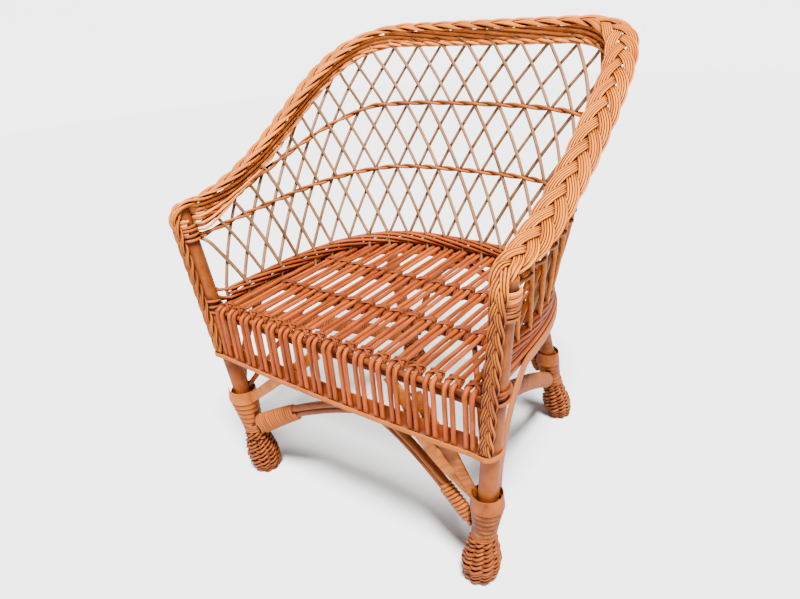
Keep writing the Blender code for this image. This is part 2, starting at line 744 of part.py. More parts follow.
def braces():
    """Flat braces up to the apron and round ones back to the first cross bar, from each front leg."""
    foot_z = BINDING_TOP + BRACE_THICKNESS
    for hand, side in SIDES.items():
        leg = front_leg(side, foot_z)
        top = Vector((leg.x - side * BRACE_RUN, SKIRT_Y + APRON_GAP, APRON_Z))
        top.y += (APRON_THICKNESS + BRACE_THICKNESS) / 2 + BEND_CLEARANCE
        along = (top - leg).normalized()
        across = along.cross(Vector((0.0, 1.0, 0.0))).normalized() * BRACE_WIDTH / 2
        foot = leg - Vector((side * (LEG_RADIUS + abs(across.x) + BEND_CLEARANCE), 0.0, 0.0))
        strip(f"front_brace_{hand}", (foot + across, top + across), (foot - across, top - across),
              BRACE_THICKNESS, SPLIT_CANE)

        bar = Vector((leg.x - side * BRACE_RUN, CROSS_BAR_YS[0], CROSS_BAR_Z))
        level = Vector((bar.x - leg.x, bar.y - leg.y, 0.0)).normalized()
        foot = leg + level * (LEG_RADIUS + CORNER_BRACE_RADIUS)
        run = math.hypot(bar.y - foot.y, bar.z - foot.z)
        under = CROSS_BAR_RADIUS + CORNER_BRACE_RADIUS + CLEARANCE
        turn = math.atan2(bar.z - foot.z, bar.y - foot.y) - math.asin(under / run)
        reach = math.sqrt(run * run - under * under) + CORNER_BRACE_RADIUS
        top = Vector((bar.x, foot.y + reach * math.cos(turn), foot.z + reach * math.sin(turn)))
        rod(f"corner_brace_{hand}", (foot, top), CORNER_BRACE_RADIUS, SPLIT_CANE, 3)


def side_strip():
    """One long strip round the outside of the seat hoop, its ends drawn down to the front bindings."""
    reach = HOOP_RADIUS + SIDE_STRIP_THICKNESS / 2 + BEND_CLEARANCE
    hug = LEG_RADIUS + SIDE_STRIP_THICKNESS / 2 + BEND_CLEARANCE
    drawn = SIDE_STRIP_END_SHARE - SIDE_STRIP_HUG_SHARE
    ends = np.linspace(SIDE_STRIP_HUG_SHARE, SIDE_STRIP_END_SHARE, STRIP_END_RUNS + 1)
    shares = [*-ends[::-1], *(share for share in hoop_shares() if abs(share) < SIDE_STRIP_HUG_SHARE), *ends]
    middle, faces = [], []
    for share in shares:
        side = math.copysign(1.0, share)
        point = SEAT_PLAN(share) + seat_outward(share) * reach + Vector((0.0, 0.0, SEAT_BAR_Z))
        behind = Vector((side, 1.0, 0.0)).normalized()
        end = front_leg(side, BINDING_TOP + SIDE_STRIP_WIDTH / 2) + behind * hug
        draw = max(0.0, (abs(share) - SIDE_STRIP_HUG_SHARE) / drawn) ** 2
        middle.append(point.lerp(end, draw))
        faces.append(seat_outward(share).lerp(behind, draw))
    upper, lower = [], []
    for index, face in enumerate(faces):
        along = middle[min(index + 1, len(middle) - 1)] - middle[max(index - 1, 0)]
        across = along.cross(face).normalized() * SIDE_STRIP_WIDTH / 2
        upper.append(middle[index] + across)
        lower.append(middle[index] - across)
    strip("side_strip", upper, lower, SIDE_STRIP_THICKNESS, SPLIT_CANE)


for build in (seat_frame, seat_rods, lashings, rim_band, lattice, wall_bands, base_band, plait,
              apron, arches, stays, braces, side_strip):
    build()
leg_set("front", front_leg, FRONT_LEG_HEIGHT)
leg_set("rear", rear_leg, REAR_LEG_HEIGHT)
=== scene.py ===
"""Willow armchair: rods, plaits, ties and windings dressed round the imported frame.

Metres, +Z up, the front toward -Y, in the frame's own place.
"""

import math
import random

import bmesh
import bpy
import numpy as np
from mathutils import Matrix, Vector
from mathutils.bvhtree import BVHTree


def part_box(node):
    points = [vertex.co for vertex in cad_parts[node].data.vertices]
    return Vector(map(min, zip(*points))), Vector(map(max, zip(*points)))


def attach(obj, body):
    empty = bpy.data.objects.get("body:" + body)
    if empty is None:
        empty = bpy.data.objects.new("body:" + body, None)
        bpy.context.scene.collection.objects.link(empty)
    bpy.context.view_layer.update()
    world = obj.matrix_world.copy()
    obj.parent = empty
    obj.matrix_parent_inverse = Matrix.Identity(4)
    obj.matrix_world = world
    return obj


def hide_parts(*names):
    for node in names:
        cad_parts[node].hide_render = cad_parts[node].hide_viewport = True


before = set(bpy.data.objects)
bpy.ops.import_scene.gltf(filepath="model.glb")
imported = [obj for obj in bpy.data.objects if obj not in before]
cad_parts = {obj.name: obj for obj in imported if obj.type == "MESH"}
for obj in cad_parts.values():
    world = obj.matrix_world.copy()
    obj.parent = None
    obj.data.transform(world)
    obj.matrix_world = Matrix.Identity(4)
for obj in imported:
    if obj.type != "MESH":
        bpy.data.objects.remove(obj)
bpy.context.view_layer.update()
chance = random.Random(17)

# Sizes shared with the frame
CLEARANCE = 0.0003
BEND_CLEARANCE = 0.0008
LEG_RADIUS = 0.0155
FRONT_FOOT = Vector((0.268, -0.2434, 0.0))
FRONT_TOP = Vector((0.330, -0.2664, 0.575))
REAR_FOOT = Vector((0.204, 0.2486, 0.0))
REAR_TOP_X = 0.178
FOOT_HEIGHT = 0.100
FOOT_RADIUS = 0.0325
FOOT_BULGE_HEIGHT = 0.040
FOOT_SOLE_RADIUS = 0.024
FOOT_NECK_RADIUS = 0.0225
BINDING_TOP = 0.200
BINDING_RADIUS = 0.0245
BINDING_FOOT_RADIUS = 0.0195
SEAT_BAR_Z = 0.385
SEAT_BAR_RADIUS = 0.010
SEAT_HALF_WIDTH = 0.284
SEAT_BACK_Y = 0.1796
SEAT_SQUARENESS = 3.2
HOOP_RADIUS = 0.010
CROSS_BAR_RADIUS = 0.008
CROSS_BAR_SHARES = (0.317, 0.625)
SEAT_PAIRS = 17
SEAT_ROD_RADIUS = 0.0043
PAIR_HALF = 0.0062
APRON_Z = 0.298
APRON_SAG = 0.008
ARCH_END_Z = 0.135
FRONT_ARCH_REACH = 0.0260
BACK_ARCH_REACH = 0.0306
STAY_REACH = 0.0257
BURIED_REACH = 0.014
ARCH_RADIUS = 0.0075
LOWER_ARCH_RADIUS = 0.0065
FRONT_ARCH_ROUNDNESS = 1.4
FRONT_ARCH_CROWN = 0.19
BACK_ARCH_ROUNDNESS = 2.3
STAY_BOW = 0.012
STAY_ROUNDNESS = 2.0
FRONT_ARCH_Z = 0.272
FRONT_ARCH_Y = -0.2374
RIM_HALF_WIDTH = 0.326
RIM_BACK_Y = 0.2766
RIM_SQUARENESS = 6.0
ARM_Z = 0.602
BACK_Z = 0.848
RIM_RISE_END = 0.745
RIM_TILT = math.radians(45)
ARM_PLAIT_TILT = math.radians(79)
BACK_PLAIT_TILT = math.radians(97)
GATHER_HEIGHT = 0.022
PLAIT_HALF_THICKNESS = 0.0094
LATTICE_COLUMNS = 26
LATTICE_ROWS = 9
LATTICE_ROW_EASE = 0.183
LATTICE_ROD = 0.0058
LATTICE_RADIUS = 0.0035
SHORTEST_LATTICE_ROD = 0.105
PLAIT_STRANDS = 5
PLAIT_CROSSING = 0.0433
PLAIT_LEG_SCALE = 0.55
PLAIT_LEG_PERIOD = 0.136
PLAIT_CORNER_RADIUS = 0.030
PLAIT_WIDENING = 0.120
PLAIT_NARROW_BELOW = 0.070
PLAIT_WIDE_AFTER = 0.090
SIDES = {"left": -1, "right": 1}


# Lines of the chair
def plan_curve(half_width, front_y, back_y, squareness):
    """A bent plan line by share: -1 at the left front, 0 at the back, 1 at the right front."""
    angles = np.linspace(0.0, math.pi / 2, 400)
    xs = half_width * np.maximum(np.cos(angles), 0.0) ** (2.0 / squareness)
    ys = front_y + (back_y - front_y) * np.sin(angles) ** (2.0 / squareness)
    xs[-1] = 0.0
    along = np.concatenate(([0.0], np.cumsum(np.hypot(np.diff(xs), np.diff(ys)))))

    def at(share):
        distance = (1.0 - abs(share)) * along[-1]
        x = float(np.interp(distance, along, xs))
        return Vector((math.copysign(x, share), float(np.interp(distance, along, ys)), 0.0))

    at.length = 2.0 * along[-1]
    at.half_width_at = lambda y: float(np.interp(y, ys, xs))
    at.back_at = lambda x: float(np.interp(-x, -xs, ys))
    return at


def plan_outward(plan, share):
    along = plan(min(share + 0.002, 1.0)) - plan(max(share - 0.002, -1.0))
    return Vector((-along.y, along.x, 0.0)).normalized()


def ease(value):
    value = min(max(value, 0.0), 1.0)
    return value * value * (3.0 - 2.0 * value)


def front_leg(side, z):
    point = FRONT_FOOT.lerp(FRONT_TOP, z / FRONT_TOP.z)
    return Vector((side * point.x, point.y, z))


BAR_Y = front_leg(1, SEAT_BAR_Z).y
WALL_FRONT_GAP = LEG_RADIUS + LATTICE_ROD
SEAT_PLAN = plan_curve(SEAT_HALF_WIDTH, BAR_Y + WALL_FRONT_GAP, SEAT_BACK_Y, SEAT_SQUARENESS)
RIM_PLAN = plan_curve(RIM_HALF_WIDTH, FRONT_TOP.y + WALL_FRONT_GAP, RIM_BACK_Y, RIM_SQUARENESS)
REAR_TOP = Vector((REAR_TOP_X, SEAT_PLAN.back_at(REAR_TOP_X), SEAT_BAR_Z - HOOP_RADIUS))
SEAT_BEND = (SEAT_BAR_RADIUS + SEAT_ROD_RADIUS + CLEARANCE) / math.cos(math.pi / 12)
SEAT_ROD_Z = SEAT_BAR_Z + SEAT_BEND
SKIRT_Y = BAR_Y - SEAT_BEND
CROSS_BAR_YS = [BAR_Y + (SEAT_BACK_Y - BAR_Y) * share for share in CROSS_BAR_SHARES]
CROSS_BAR_Z = SEAT_ROD_Z - SEAT_ROD_RADIUS - CLEARANCE - CROSS_BAR_RADIUS
EDGE_ROD_RADIUS = 0.0055
EDGE_BEND = EDGE_ROD_RADIUS + SEAT_ROD_RADIUS + CLEARANCE
EDGE_Y = SKIRT_Y + EDGE_BEND
EDGE_Z = SEAT_ROD_Z - EDGE_BEND
WALL_BASE_Z = 0.4242


def rear_leg(side, z):
    point = REAR_FOOT.lerp(REAR_TOP, z / REAR_TOP.z)
    return Vector((side * point.x, point.y, z))


def apron_z(x):
    share = x / front_leg(1, APRON_Z).x
    return APRON_Z - APRON_SAG * max(0.0, 1.0 - share * share)


def rim_point(share):
    point = RIM_PLAN(share)
    point.z = ARM_Z + (BACK_Z - ARM_Z) * ease((1.0 - abs(share)) / RIM_RISE_END)
    return point


def rim_face(share, tilt=RIM_TILT):
    """The way the rim's broad side looks: outward and up."""
    side = plan_outward(RIM_PLAN, share)
    return side * math.cos(tilt) + Vector((0.0, 0.0, math.sin(tilt)))


def backness(share):
    """1 along the back, 0 along the arms."""
    return ease((0.75 - abs(share)) / 0.45)


def plait_scale(share):
    along = (1.0 - abs(share)) * RIM_PLAN.length / 2
    return PLAIT_LEG_SCALE + (1.0 - PLAIT_LEG_SCALE) * ease(along / PLAIT_WIDENING)


def wall_top(share):
    return rim_point(share) - rim_face(share) * (PLAIT_HALF_THICKNESS * plait_scale(share) + 0.0028)


def wall_base(share):
    return SEAT_PLAN(share) + Vector((0.0, 0.0, WALL_BASE_Z))


def wall_slant(share):
    return (wall_top(share) - wall_base(share)).length


def wall_point(share, rise, offset=0.0):
    base = wall_base(share)
    up = (wall_top(share) - base).normalized()
    across = plan_outward(RIM_PLAN, share)
    normal = (across - up * across.dot(up)).normalized()
    return base + up * rise + normal * offset


def lattice_height(share):
    return wall_slant(share) - GATHER_HEIGHT


BACK_HEIGHT = lattice_height(0.0)


def row_rise(row):
    part = row / LATTICE_ROWS
    return BACK_HEIGHT * part * (1.0 + LATTICE_ROW_EASE - LATTICE_ROW_EASE * part)


def flowing(points, spacing):
    """A smooth line through points, with a point about every spacing."""
    knots = [Vector(point) for point in points]
    knots = [knots[0] * 2.0 - knots[1]] + knots + [knots[-1] * 2.0 - knots[-2]]
    line = []
    for a, b, c, d in zip(knots, knots[1:], knots[2:], knots[3:]):
        count = max(1, round((c - b).length / spacing))
        for step in range(count):
            t = step / count
            bend = (a * 2.0 - b * 5.0 + c * 4.0 - d) * t * t
            line.append((b * 2.0 + (c - a) * t + bend + (b * 3.0 - a - c * 3.0 + d) * t ** 3) * 0.5)
    line.append(knots[-2])
    return line


# Materials
def link(tree, source, target):
    tree.links.new(source, target)


def math_node(tree, operation, first, second, clamp=False):
    node = tree.nodes.new("ShaderNodeMath")
    node.operation = operation
    node.use_clamp = clamp
    for socket, value in zip(node.inputs, (first, second)):
        if isinstance(value, (int, float)):
            socket.default_value = value
        else:
            link(tree, value, socket)
    return node.outputs[0]


def willow_skin_group():
    """Peeled willow: streaks along the rod, a tone of its own for each rod, bud scars, and painted shade mixed in where
    the crevice attribute marks crowded spots.
    """
    tree = bpy.data.node_groups.new("willow_skin", "ShaderNodeTree")
    face = tree.interface
    for name, kind, value in (
            ("Light", "NodeSocketColor", (0.8, 0.4, 0.15, 1.0)), ("Deep", "NodeSocketColor", (0.4, 0.1, 0.03, 1.0)),
            ("Painted Shade", "NodeSocketColor", (0.1, 0.02, 0.005, 1.0)), ("Crevices", "NodeSocketFloat", 1.0),
            ("Streaks", "NodeSocketFloat", 1.0), ("Fineness", "NodeSocketFloat", 1.0), ("Scars", "NodeSocketFloat", 1.0),
            ("Dullness", "NodeSocketFloat", 0.45)):
        face.new_socket(name=name, in_out="INPUT", socket_type=kind).default_value = value
    for name, kind in (("Color", "NodeSocketColor"), ("Roughness", "NodeSocketFloat"), ("Height", "NodeSocketFloat")):
        face.new_socket(name=name, in_out="OUTPUT", socket_type=kind)
    inside = tree.nodes.new("NodeGroupInput").outputs
    outside = tree.nodes.new("NodeGroupOutput").inputs

    place = tree.nodes.new("ShaderNodeUVMap")
    place.uv_map = "rod"
    split = tree.nodes.new("ShaderNodeSeparateXYZ")
    link(tree, place.outputs["UV"], split.inputs[0])
    tone = tree.nodes.new("ShaderNodeAttribute")
    tone.attribute_name = "tone"
    own = math_node(tree, "MULTIPLY", tone.outputs["Fac"], 37.0)
    length = math_node(tree, "ADD", split.outputs["X"], own)
    turn = math_node(tree, "MULTIPLY", split.outputs["Y"], 2.0 * math.pi)
    round_x = math_node(tree, "COSINE", turn, 0.0)
    round_y = math_node(tree, "SINE", turn, 0.0)
    fine_x = math_node(tree, "MULTIPLY", round_x, inside["Fineness"])
    fine_y = math_node(tree, "MULTIPLY", round_y, inside["Fineness"])

    def rod_noise(along, around, detail):
        mix = tree.nodes.new("ShaderNodeCombineXYZ")
        link(tree, math_node(tree, "MULTIPLY", length, along), mix.inputs["X"])
        link(tree, math_node(tree, "MULTIPLY", fine_x, around), mix.inputs["Y"])
        link(tree, math_node(tree, "MULTIPLY", fine_y, around), mix.inputs["Z"])
        noise = tree.nodes.new("ShaderNodeTexNoise")
        noise.inputs["Scale"].default_value = 1.0
        noise.inputs["Detail"].default_value = detail
        link(tree, mix.outputs[0], noise.inputs["Vector"])
        return noise.outputs["Fac"]

    streak = rod_noise(16.0, 2.6, 4.0)
    grain = rod_noise(70.0, 7.0, 3.0)
    where = tree.nodes.new("ShaderNodeTexCoord")
    blotch = tree.nodes.new("ShaderNodeTexNoise")
    blotch.inputs["Scale"].default_value = 9.0
    blotch.inputs["Detail"].default_value = 2.0
    link(tree, where.outputs["Object"], blotch.inputs["Vector"])

    bud_line = tree.nodes.new("ShaderNodeTexVoronoi")
    bud_line.voronoi_dimensions = "1D"
    bud_line.inputs["Scale"].default_value = 9.0
    link(tree, length, bud_line.inputs["W"])
    near_bud = math_node(tree, "SUBTRACT", 1.0, math_node(tree, "MULTIPLY", bud_line.outputs["Distance"], 26.0), True)
    bud_side = math_node(tree, "GREATER_THAN", round_x, 0.1)
    scar = math_node(tree, "MULTIPLY", math_node(tree, "MULTIPLY", near_bud, bud_side), inside["Scars"])

    lift = math_node(tree, "MULTIPLY", math_node(tree, "SUBTRACT", streak, 0.5), 1.7)
    lift = math_node(tree, "ADD", lift, math_node(tree, "MULTIPLY", math_node(tree, "SUBTRACT", grain, 0.5), 0.5))
    lift = math_node(tree, "MULTIPLY", lift, inside["Streaks"])
    lift = math_node(tree, "ADD", lift, math_node(tree, "MULTIPLY", math_node(tree, "SUBTRACT", blotch.outputs["Fac"], 0.5), 0.9))
    lift = math_node(tree, "ADD", lift, math_node(tree, "MULTIPLY", math_node(tree, "SUBTRACT", tone.outputs["Fac"], 0.5), 0.55))
    lift = math_node(tree, "SUBTRACT", lift, math_node(tree, "MULTIPLY", scar, 0.35))
    fresh = math_node(tree, "ADD", lift, 0.58, True)
    blend = tree.nodes.new("ShaderNodeMix")
    blend.data_type = "RGBA"
    link(tree, fresh, blend.inputs["Factor"])
    link(tree, inside["Deep"], blend.inputs["A"])
    link(tree, inside["Light"], blend.inputs["B"])
    # Painted shade: the colour is mixed toward the painted shade colour by the crevice attribute.
    crowded = tree.nodes.new("ShaderNodeAttribute")
    crowded.attribute_name = "crevice"
    shade_mix = tree.nodes.new("ShaderNodeMix")
    shade_mix.data_type = "RGBA"
    link(tree, math_node(tree, "MULTIPLY", crowded.outputs["Fac"], inside["Crevices"], True), shade_mix.inputs["Factor"])
    link(tree, blend.outputs["Result"], shade_mix.inputs["A"])
    link(tree, inside["Painted Shade"], shade_mix.inputs["B"])
    link(tree, shade_mix.outputs["Result"], outside["Color"])

    dull = math_node(tree, "MULTIPLY", math_node(tree, "SUBTRACT", grain, 0.5), 0.35)
    dull = math_node(tree, "ADD", dull, math_node(tree, "MULTIPLY", scar, 0.2))
    link(tree, math_node(tree, "ADD", dull, inside["Dullness"], True), outside["Roughness"])
    height = math_node(tree, "ADD", math_node(tree, "MULTIPLY", grain, 0.6), math_node(tree, "MULTIPLY", streak, 0.5))
    link(tree, math_node(tree, "ADD", height, scar), outside["Height"])
    return tree


WILLOW_SKIN = willow_skin_group()


def willow(name, light, deep, painted_shade, crevices=1.5, streaks=1.0, fineness=1.0, scars=1.0, dullness=0.55, relief=0.35):
    made = bpy.data.materials.new(name)
    made.use_nodes = True
    tree = made.node_tree
    shader = tree.nodes["Principled BSDF"]
    skin = tree.nodes.new("ShaderNodeGroup")
    skin.node_tree = WILLOW_SKIN
    skin.inputs["Light"].default_value = (*light, 1.0)
    skin.inputs["Deep"].default_value = (*deep, 1.0)
    skin.inputs["Painted Shade"].default_value = (*painted_shade, 1.0)
    skin.inputs["Crevices"].default_value = crevices
    skin.inputs["Streaks"].default_value = streaks
    skin.inputs["Fineness"].default_value = fineness
    skin.inputs["Scars"].default_value = scars
    skin.inputs["Dullness"].default_value = dullness
    link(tree, skin.outputs["Color"], shader.inputs["Base Color"])
    link(tree, skin.outputs["Roughness"], shader.inputs["Roughness"])
    bump = tree.nodes.new("ShaderNodeBump")
    bump.inputs["Strength"].default_value = relief
    bump.inputs["Distance"].default_value = 0.0006
    link(tree, skin.outputs["Height"], bump.inputs["Height"])
    link(tree, bump.outputs["Normal"], shader.inputs["Normal"])
    shader.inputs["Specular IOR Level"].default_value = 0.12
    return made


# Painted shade colours: the third colour of each willow is the painted shade that darkens crowded spots between rods.
DARK_PAINTED_SHADE = (0.040, 0.006, 0.0006)
PLAIT_WILLOW = willow("plait_willow", (0.58, 0.162, 0.008), (0.19, 0.034, 0.003), (0.06, 0.010, 0.001), 2.1, 1.4)
# The gather's willow colour, lifted and less orange: partly its own colour, partly painted fill light for the shade
# under the plait.
GATHER_WILLOW_PAINTED_FILL = willow("gather_willow_painted_fill", (0.62, 0.185, 0.032), (0.32, 0.070, 0.009), (0.16, 0.030, 0.002), 1.0)
LATTICE_WILLOW = willow("lattice_willow", (0.21, 0.094, 0.038), (0.08, 0.029, 0.009), (0.05, 0.013, 0.002))
SEAT_WILLOW = willow("seat_willow", (0.265, 0.047, 0.004), (0.095, 0.0125, 0.001), DARK_PAINTED_SHADE)
TIE_WILLOW = willow("tie_willow", (0.15, 0.026, 0.002), (0.07, 0.010, 0.001), DARK_PAINTED_SHADE, dullness=0.7)
LEG_WILLOW = willow("leg_willow", (0.175, 0.040, 0.0035), (0.075, 0.0130, 0.001), DARK_PAINTED_SHADE, streaks=1.2, fineness=1.8)
STRIP_WILLOW = willow("strip_willow", (0.265, 0.065, 0.0045), (0.10, 0.019, 0.002), DARK_PAINTED_SHADE, streaks=1.1, fineness=2.6, scars=0.3)
WINDING_WILLOW = willow("winding_willow", (0.28, 0.066, 0.0045), (0.11, 0.020, 0.002), DARK_PAINTED_SHADE, 2.8, scars=0.3)
# Painted light: a brighter willow, lifting the braces and the right arm's lattice as if lit from the front.
PAINTED_LIGHT_WILLOW = willow("painted_light_willow", (0.40, 0.105, 0.007), (0.17, 0.034, 0.003), DARK_PAINTED_SHADE, 1.0, fineness=2.6, scars=0.3)
FOOT_WILLOW = willow("foot_willow", (0.20, 0.047, 0.005), (0.085, 0.016, 0.001), DARK_PAINTED_SHADE)


# Making rods
def rod(points, radius):
    return {"points": points, "radius": radius}


def strip(points, thickness, width, lean=0.0, taper=1.0):
    """Split willow on edge: its width stands up from its line and leans by an angle."""
    return {"points": points, "radius": taper, "thickness": thickness, "width": width, "lean": lean}


def stock_mesh(sides, points, radius, thickness=2.0, width=2.0, lean=0.0):
    """One rod or strip, with its length in metres and its turn as surface coordinates."""
    curve = bpy.data.curves.new("stock", "CURVE")
    curve.dimensions = "3D"
    curve.bevel_resolution = (sides - 4) // 2
    curve.use_fill_caps = True
    curve.bevel_depth = thickness / 2
    curve.extrude = (width - thickness) / 2
    if curve.extrude:
        curve.twist_mode = "Z_UP"
    count = len(points)
    line = np.ones((count, 4))
    line[:, :3] = points
    spline = curve.splines.new("POLY")
    spline.points.add(count - 1)
    spline.points.foreach_set("co", line.ravel())
    spline.points.foreach_set("radius", np.ascontiguousarray(np.broadcast_to(radius, count), dtype=float))
    spline.points.foreach_set("tilt", np.full(count, lean))
    source = bpy.data.objects.new("stock", curve)
    mesh = bpy.data.meshes.new_from_object(source)
    bpy.data.objects.remove(source)
    bpy.data.curves.remove(curve)
    length = float(np.linalg.norm(np.diff(line[:, :3], axis=0), axis=1).sum())
    layer = mesh.uv_layers[0]
    layer.name = "rod"
    spots = np.zeros(len(mesh.loops) * 2)
    layer.data.foreach_get("uv", spots)
    spots = spots.reshape(-1, 2)[:, ::-1] * (length, 1.0)
    layer.data.foreach_set("uv", spots.ravel())
    tone = mesh.attributes.new("tone", "FLOAT", "POINT")
    tone.data.foreach_set("value", np.full(len(mesh.vertices), chance.random()))
    return mesh


MADE = []


def make_piece(name, stocks, finish, nodes=(), sides=8):
    """One piece of many rods and strips."""
    shape = bmesh.new()
    for stock in stocks:
        mesh = stock_mesh(sides, **stock)
        shape.from_mesh(mesh)
        bpy.data.meshes.remove(mesh)
    bmesh.ops.remove_doubles(shape, verts=shape.verts, dist=0.000005)
    whole = bpy.data.meshes.new(name)
    shape.to_mesh(whole)
    shape.free()
    whole.shade_smooth()
    whole.set_sharp_from_angle(angle=math.radians(60))
    whole.materials.clear()
    whole.materials.append(finish)
    piece = bpy.data.objects.new(name, whole)
    bpy.context.scene.collection.objects.link(piece)
    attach(piece, "root")
    if nodes:
        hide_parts(*nodes)
    MADE.append(whole)


def paint_crevice_shade(reach=0.013):
    """Painted shade: how far each spot is crowded by its neighbours, feelers that soon meet a face counting most; the
    materials darken crowded spots toward their painted shade colour.

    The plait down the front legs gets a little extra painted shade all over.
    """
    corners, faces = [], []
    for mesh in MADE:
        first = len(corners)
        corners.extend(vert.co.copy() for vert in mesh.vertices)
        faces.extend([first + index for index in face.vertices] for face in mesh.polygons)
    tree = BVHTree.FromPolygons(corners, faces)
    spread = [(math.cos(angle) * 0.8, math.sin(angle) * 0.8) for angle in np.arange(5) * 2.0 * math.pi / 5]
    for mesh in MADE:
        # Extra painted shade on the plait below the arms, down the front legs.
        leg_plait_shade = 0.22 if mesh.name.startswith("plait_rods") else 0.0
        crowding = []
        for vert in mesh.vertices:
            normal = vert.normal
            side = normal.orthogonal().normalized()
            other = normal.cross(side)
            start = vert.co + normal * 0.0005
            met = 0.0
            for across, onward in ((0.0, 0.0), *spread):
                hit = tree.ray_cast(start, normal * (0.6 if across or onward else 1.0) + side * across + other * onward, reach)
                if hit[3] is not None:
                    met += 1.0 - hit[3] / reach
            crowding.append(met / 6.0 + leg_plait_shade * ease((ARM_Z - 0.015 - vert.co.z) / 0.06))
        layer = mesh.attributes.new("crevice", "FLOAT", "POINT")
        layer.data.foreach_set("value", crowding)


def drift(points, amount):
    """A hand-laid line: each point a little off its place."""
    return [point + Vector((chance.uniform(-1, 1), chance.uniform(-1, 1), chance.uniform(-1, 1))) * amount
            for point in points]


def winding(core, reach, turns, steps=14):
    """A line wound round a core line at a reach of (sideways, upright); the upright reach may change along it."""
    spots = np.linspace(0.0, len(core) - 1.001, turns * steps + 1)
    uprights = np.interp(spots, np.linspace(0.0, len(core) - 1.0, np.size(reach[1])), np.ravel(reach[1]))
    line = []
    for number, spot in enumerate(spots):
        index = int(spot)
        along = (core[index + 1] - core[index]).normalized()
        centre = core[index].lerp(core[index + 1], spot - index)
        side = along.cross(Vector((0.0, 0.0, 1.0))).normalized()
        up = side.cross(along).normalized()
        angle = 2.0 * math.pi * number / steps
        line.append(centre + side * math.cos(angle) * reach[0] + up * math.sin(angle) * uprights[number])
    return line


def ring_point(centre, angle, reach):
    return centre + Vector((math.cos(angle) * reach, math.sin(angle) * reach, 0.0))


def round_leg(line, side, turns, climb, reach):
    """A rod's end taken on from the wall and turned round the front leg."""
    last = line[-1]
    away = last - front_leg(side, last.z)
    begin = math.atan2(away.y, away.x)
    steps = round(turns * 16)
    loop = []
    for step in range(steps + 1):
        share = step / steps
        angle = begin - side * 2.0 * math.pi * turns * share
        loop.append(ring_point(front_leg(side, last.z + climb * share), angle, reach))
    return line + loop


def leg_to_leg(line, turns, climb, radius):
    """A line along the wall with both its ends turned round the front legs."""
    reach = LEG_RADIUS + radius
    half = round_leg(line[::-1], -1, turns, climb, reach)
    return round_leg(half[::-1], 1, turns, climb, reach)


# Legs, feet and bindings
def legs():
    stocks = []
    for side in (-1, 1):
        line = [front_leg(side, z) for z in np.linspace(0.0045, FRONT_TOP.z + 0.018, 40)]
        stout = 1.10 if side < 0 else 1.03
        stocks.append(rod(line, np.linspace(stout, stout - 0.05, 40) * LEG_RADIUS))
        line = [rear_leg(side, z) for z in np.linspace(0.0045, REAR_TOP.z, 12)]
        stocks.append(rod(line, np.linspace(1.03, 0.97, 12) * LEG_RADIUS))
    nodes = [f"leg_{row}_{hand}" for row in ("front", "rear") for hand in SIDES]
    make_piece("leg_rods", stocks, LEG_WILLOW, nodes, 20)


def foot_radius(z):
    if z < FOOT_BULGE_HEIGHT:
        return FOOT_RADIUS - (FOOT_RADIUS - FOOT_SOLE_RADIUS) * (1.0 - z / FOOT_BULGE_HEIGHT) ** 2
    return FOOT_RADIUS - (FOOT_RADIUS - FOOT_NECK_RADIUS) * ease(
        (z - FOOT_BULGE_HEIGHT) / (FOOT_HEIGHT - FOOT_BULGE_HEIGHT))


def woven_foot(row, hand, axis):
    """Rows of two rods twined in and out round upright stakes, a little uneven."""
    side = SIDES[hand]
    stakes, rows, weaver = 9, 11, 0.0027
    girth = 1.0 if row == "front" else 0.90
    stocks = []
    for stake in range(stakes):
        angle = 2.0 * math.pi * stake / stakes
        line = [ring_point(axis(side, z), angle, foot_radius(z) * girth - 0.0046)
                for z in np.linspace(0.003, FOOT_HEIGHT, 14)]
        stocks.append(rod(line, 0.0027))
    for level in range(rows):
        z = weaver + (FOOT_HEIGHT - 2.2 * weaver) * level / (rows - 1)
        sink, swing = chance.uniform(-0.0012, 0.0012), chance.uniform(0.0, 2.0 * math.pi)
        for strand in (0, 1):
            line = []
            for step in range(stakes * 8 + 1):
                angle = 2.0 * math.pi * step / (stakes * 8)
                phase = angle * stakes / 2 + math.pi * (strand + level)
                height = z + 0.0034 * math.sin(phase) + 0.0018 * math.sin(angle + swing)
                height = min(max(height, weaver * 1.2), FOOT_HEIGHT)
                reach = foot_radius(z) * girth - 0.0036 + sink * math.sin(angle * 2.0 + swing) + 0.0036 * math.cos(phase)
                line.append(ring_point(axis(side, height), angle, reach))
            stocks.append(rod(line, weaver * chance.uniform(0.9, 1.1)))
    make_piece(f"twined_foot_{row}_{hand}", stocks, FOOT_WILLOW, [f"woven_foot_{row}_{hand}"], 6)


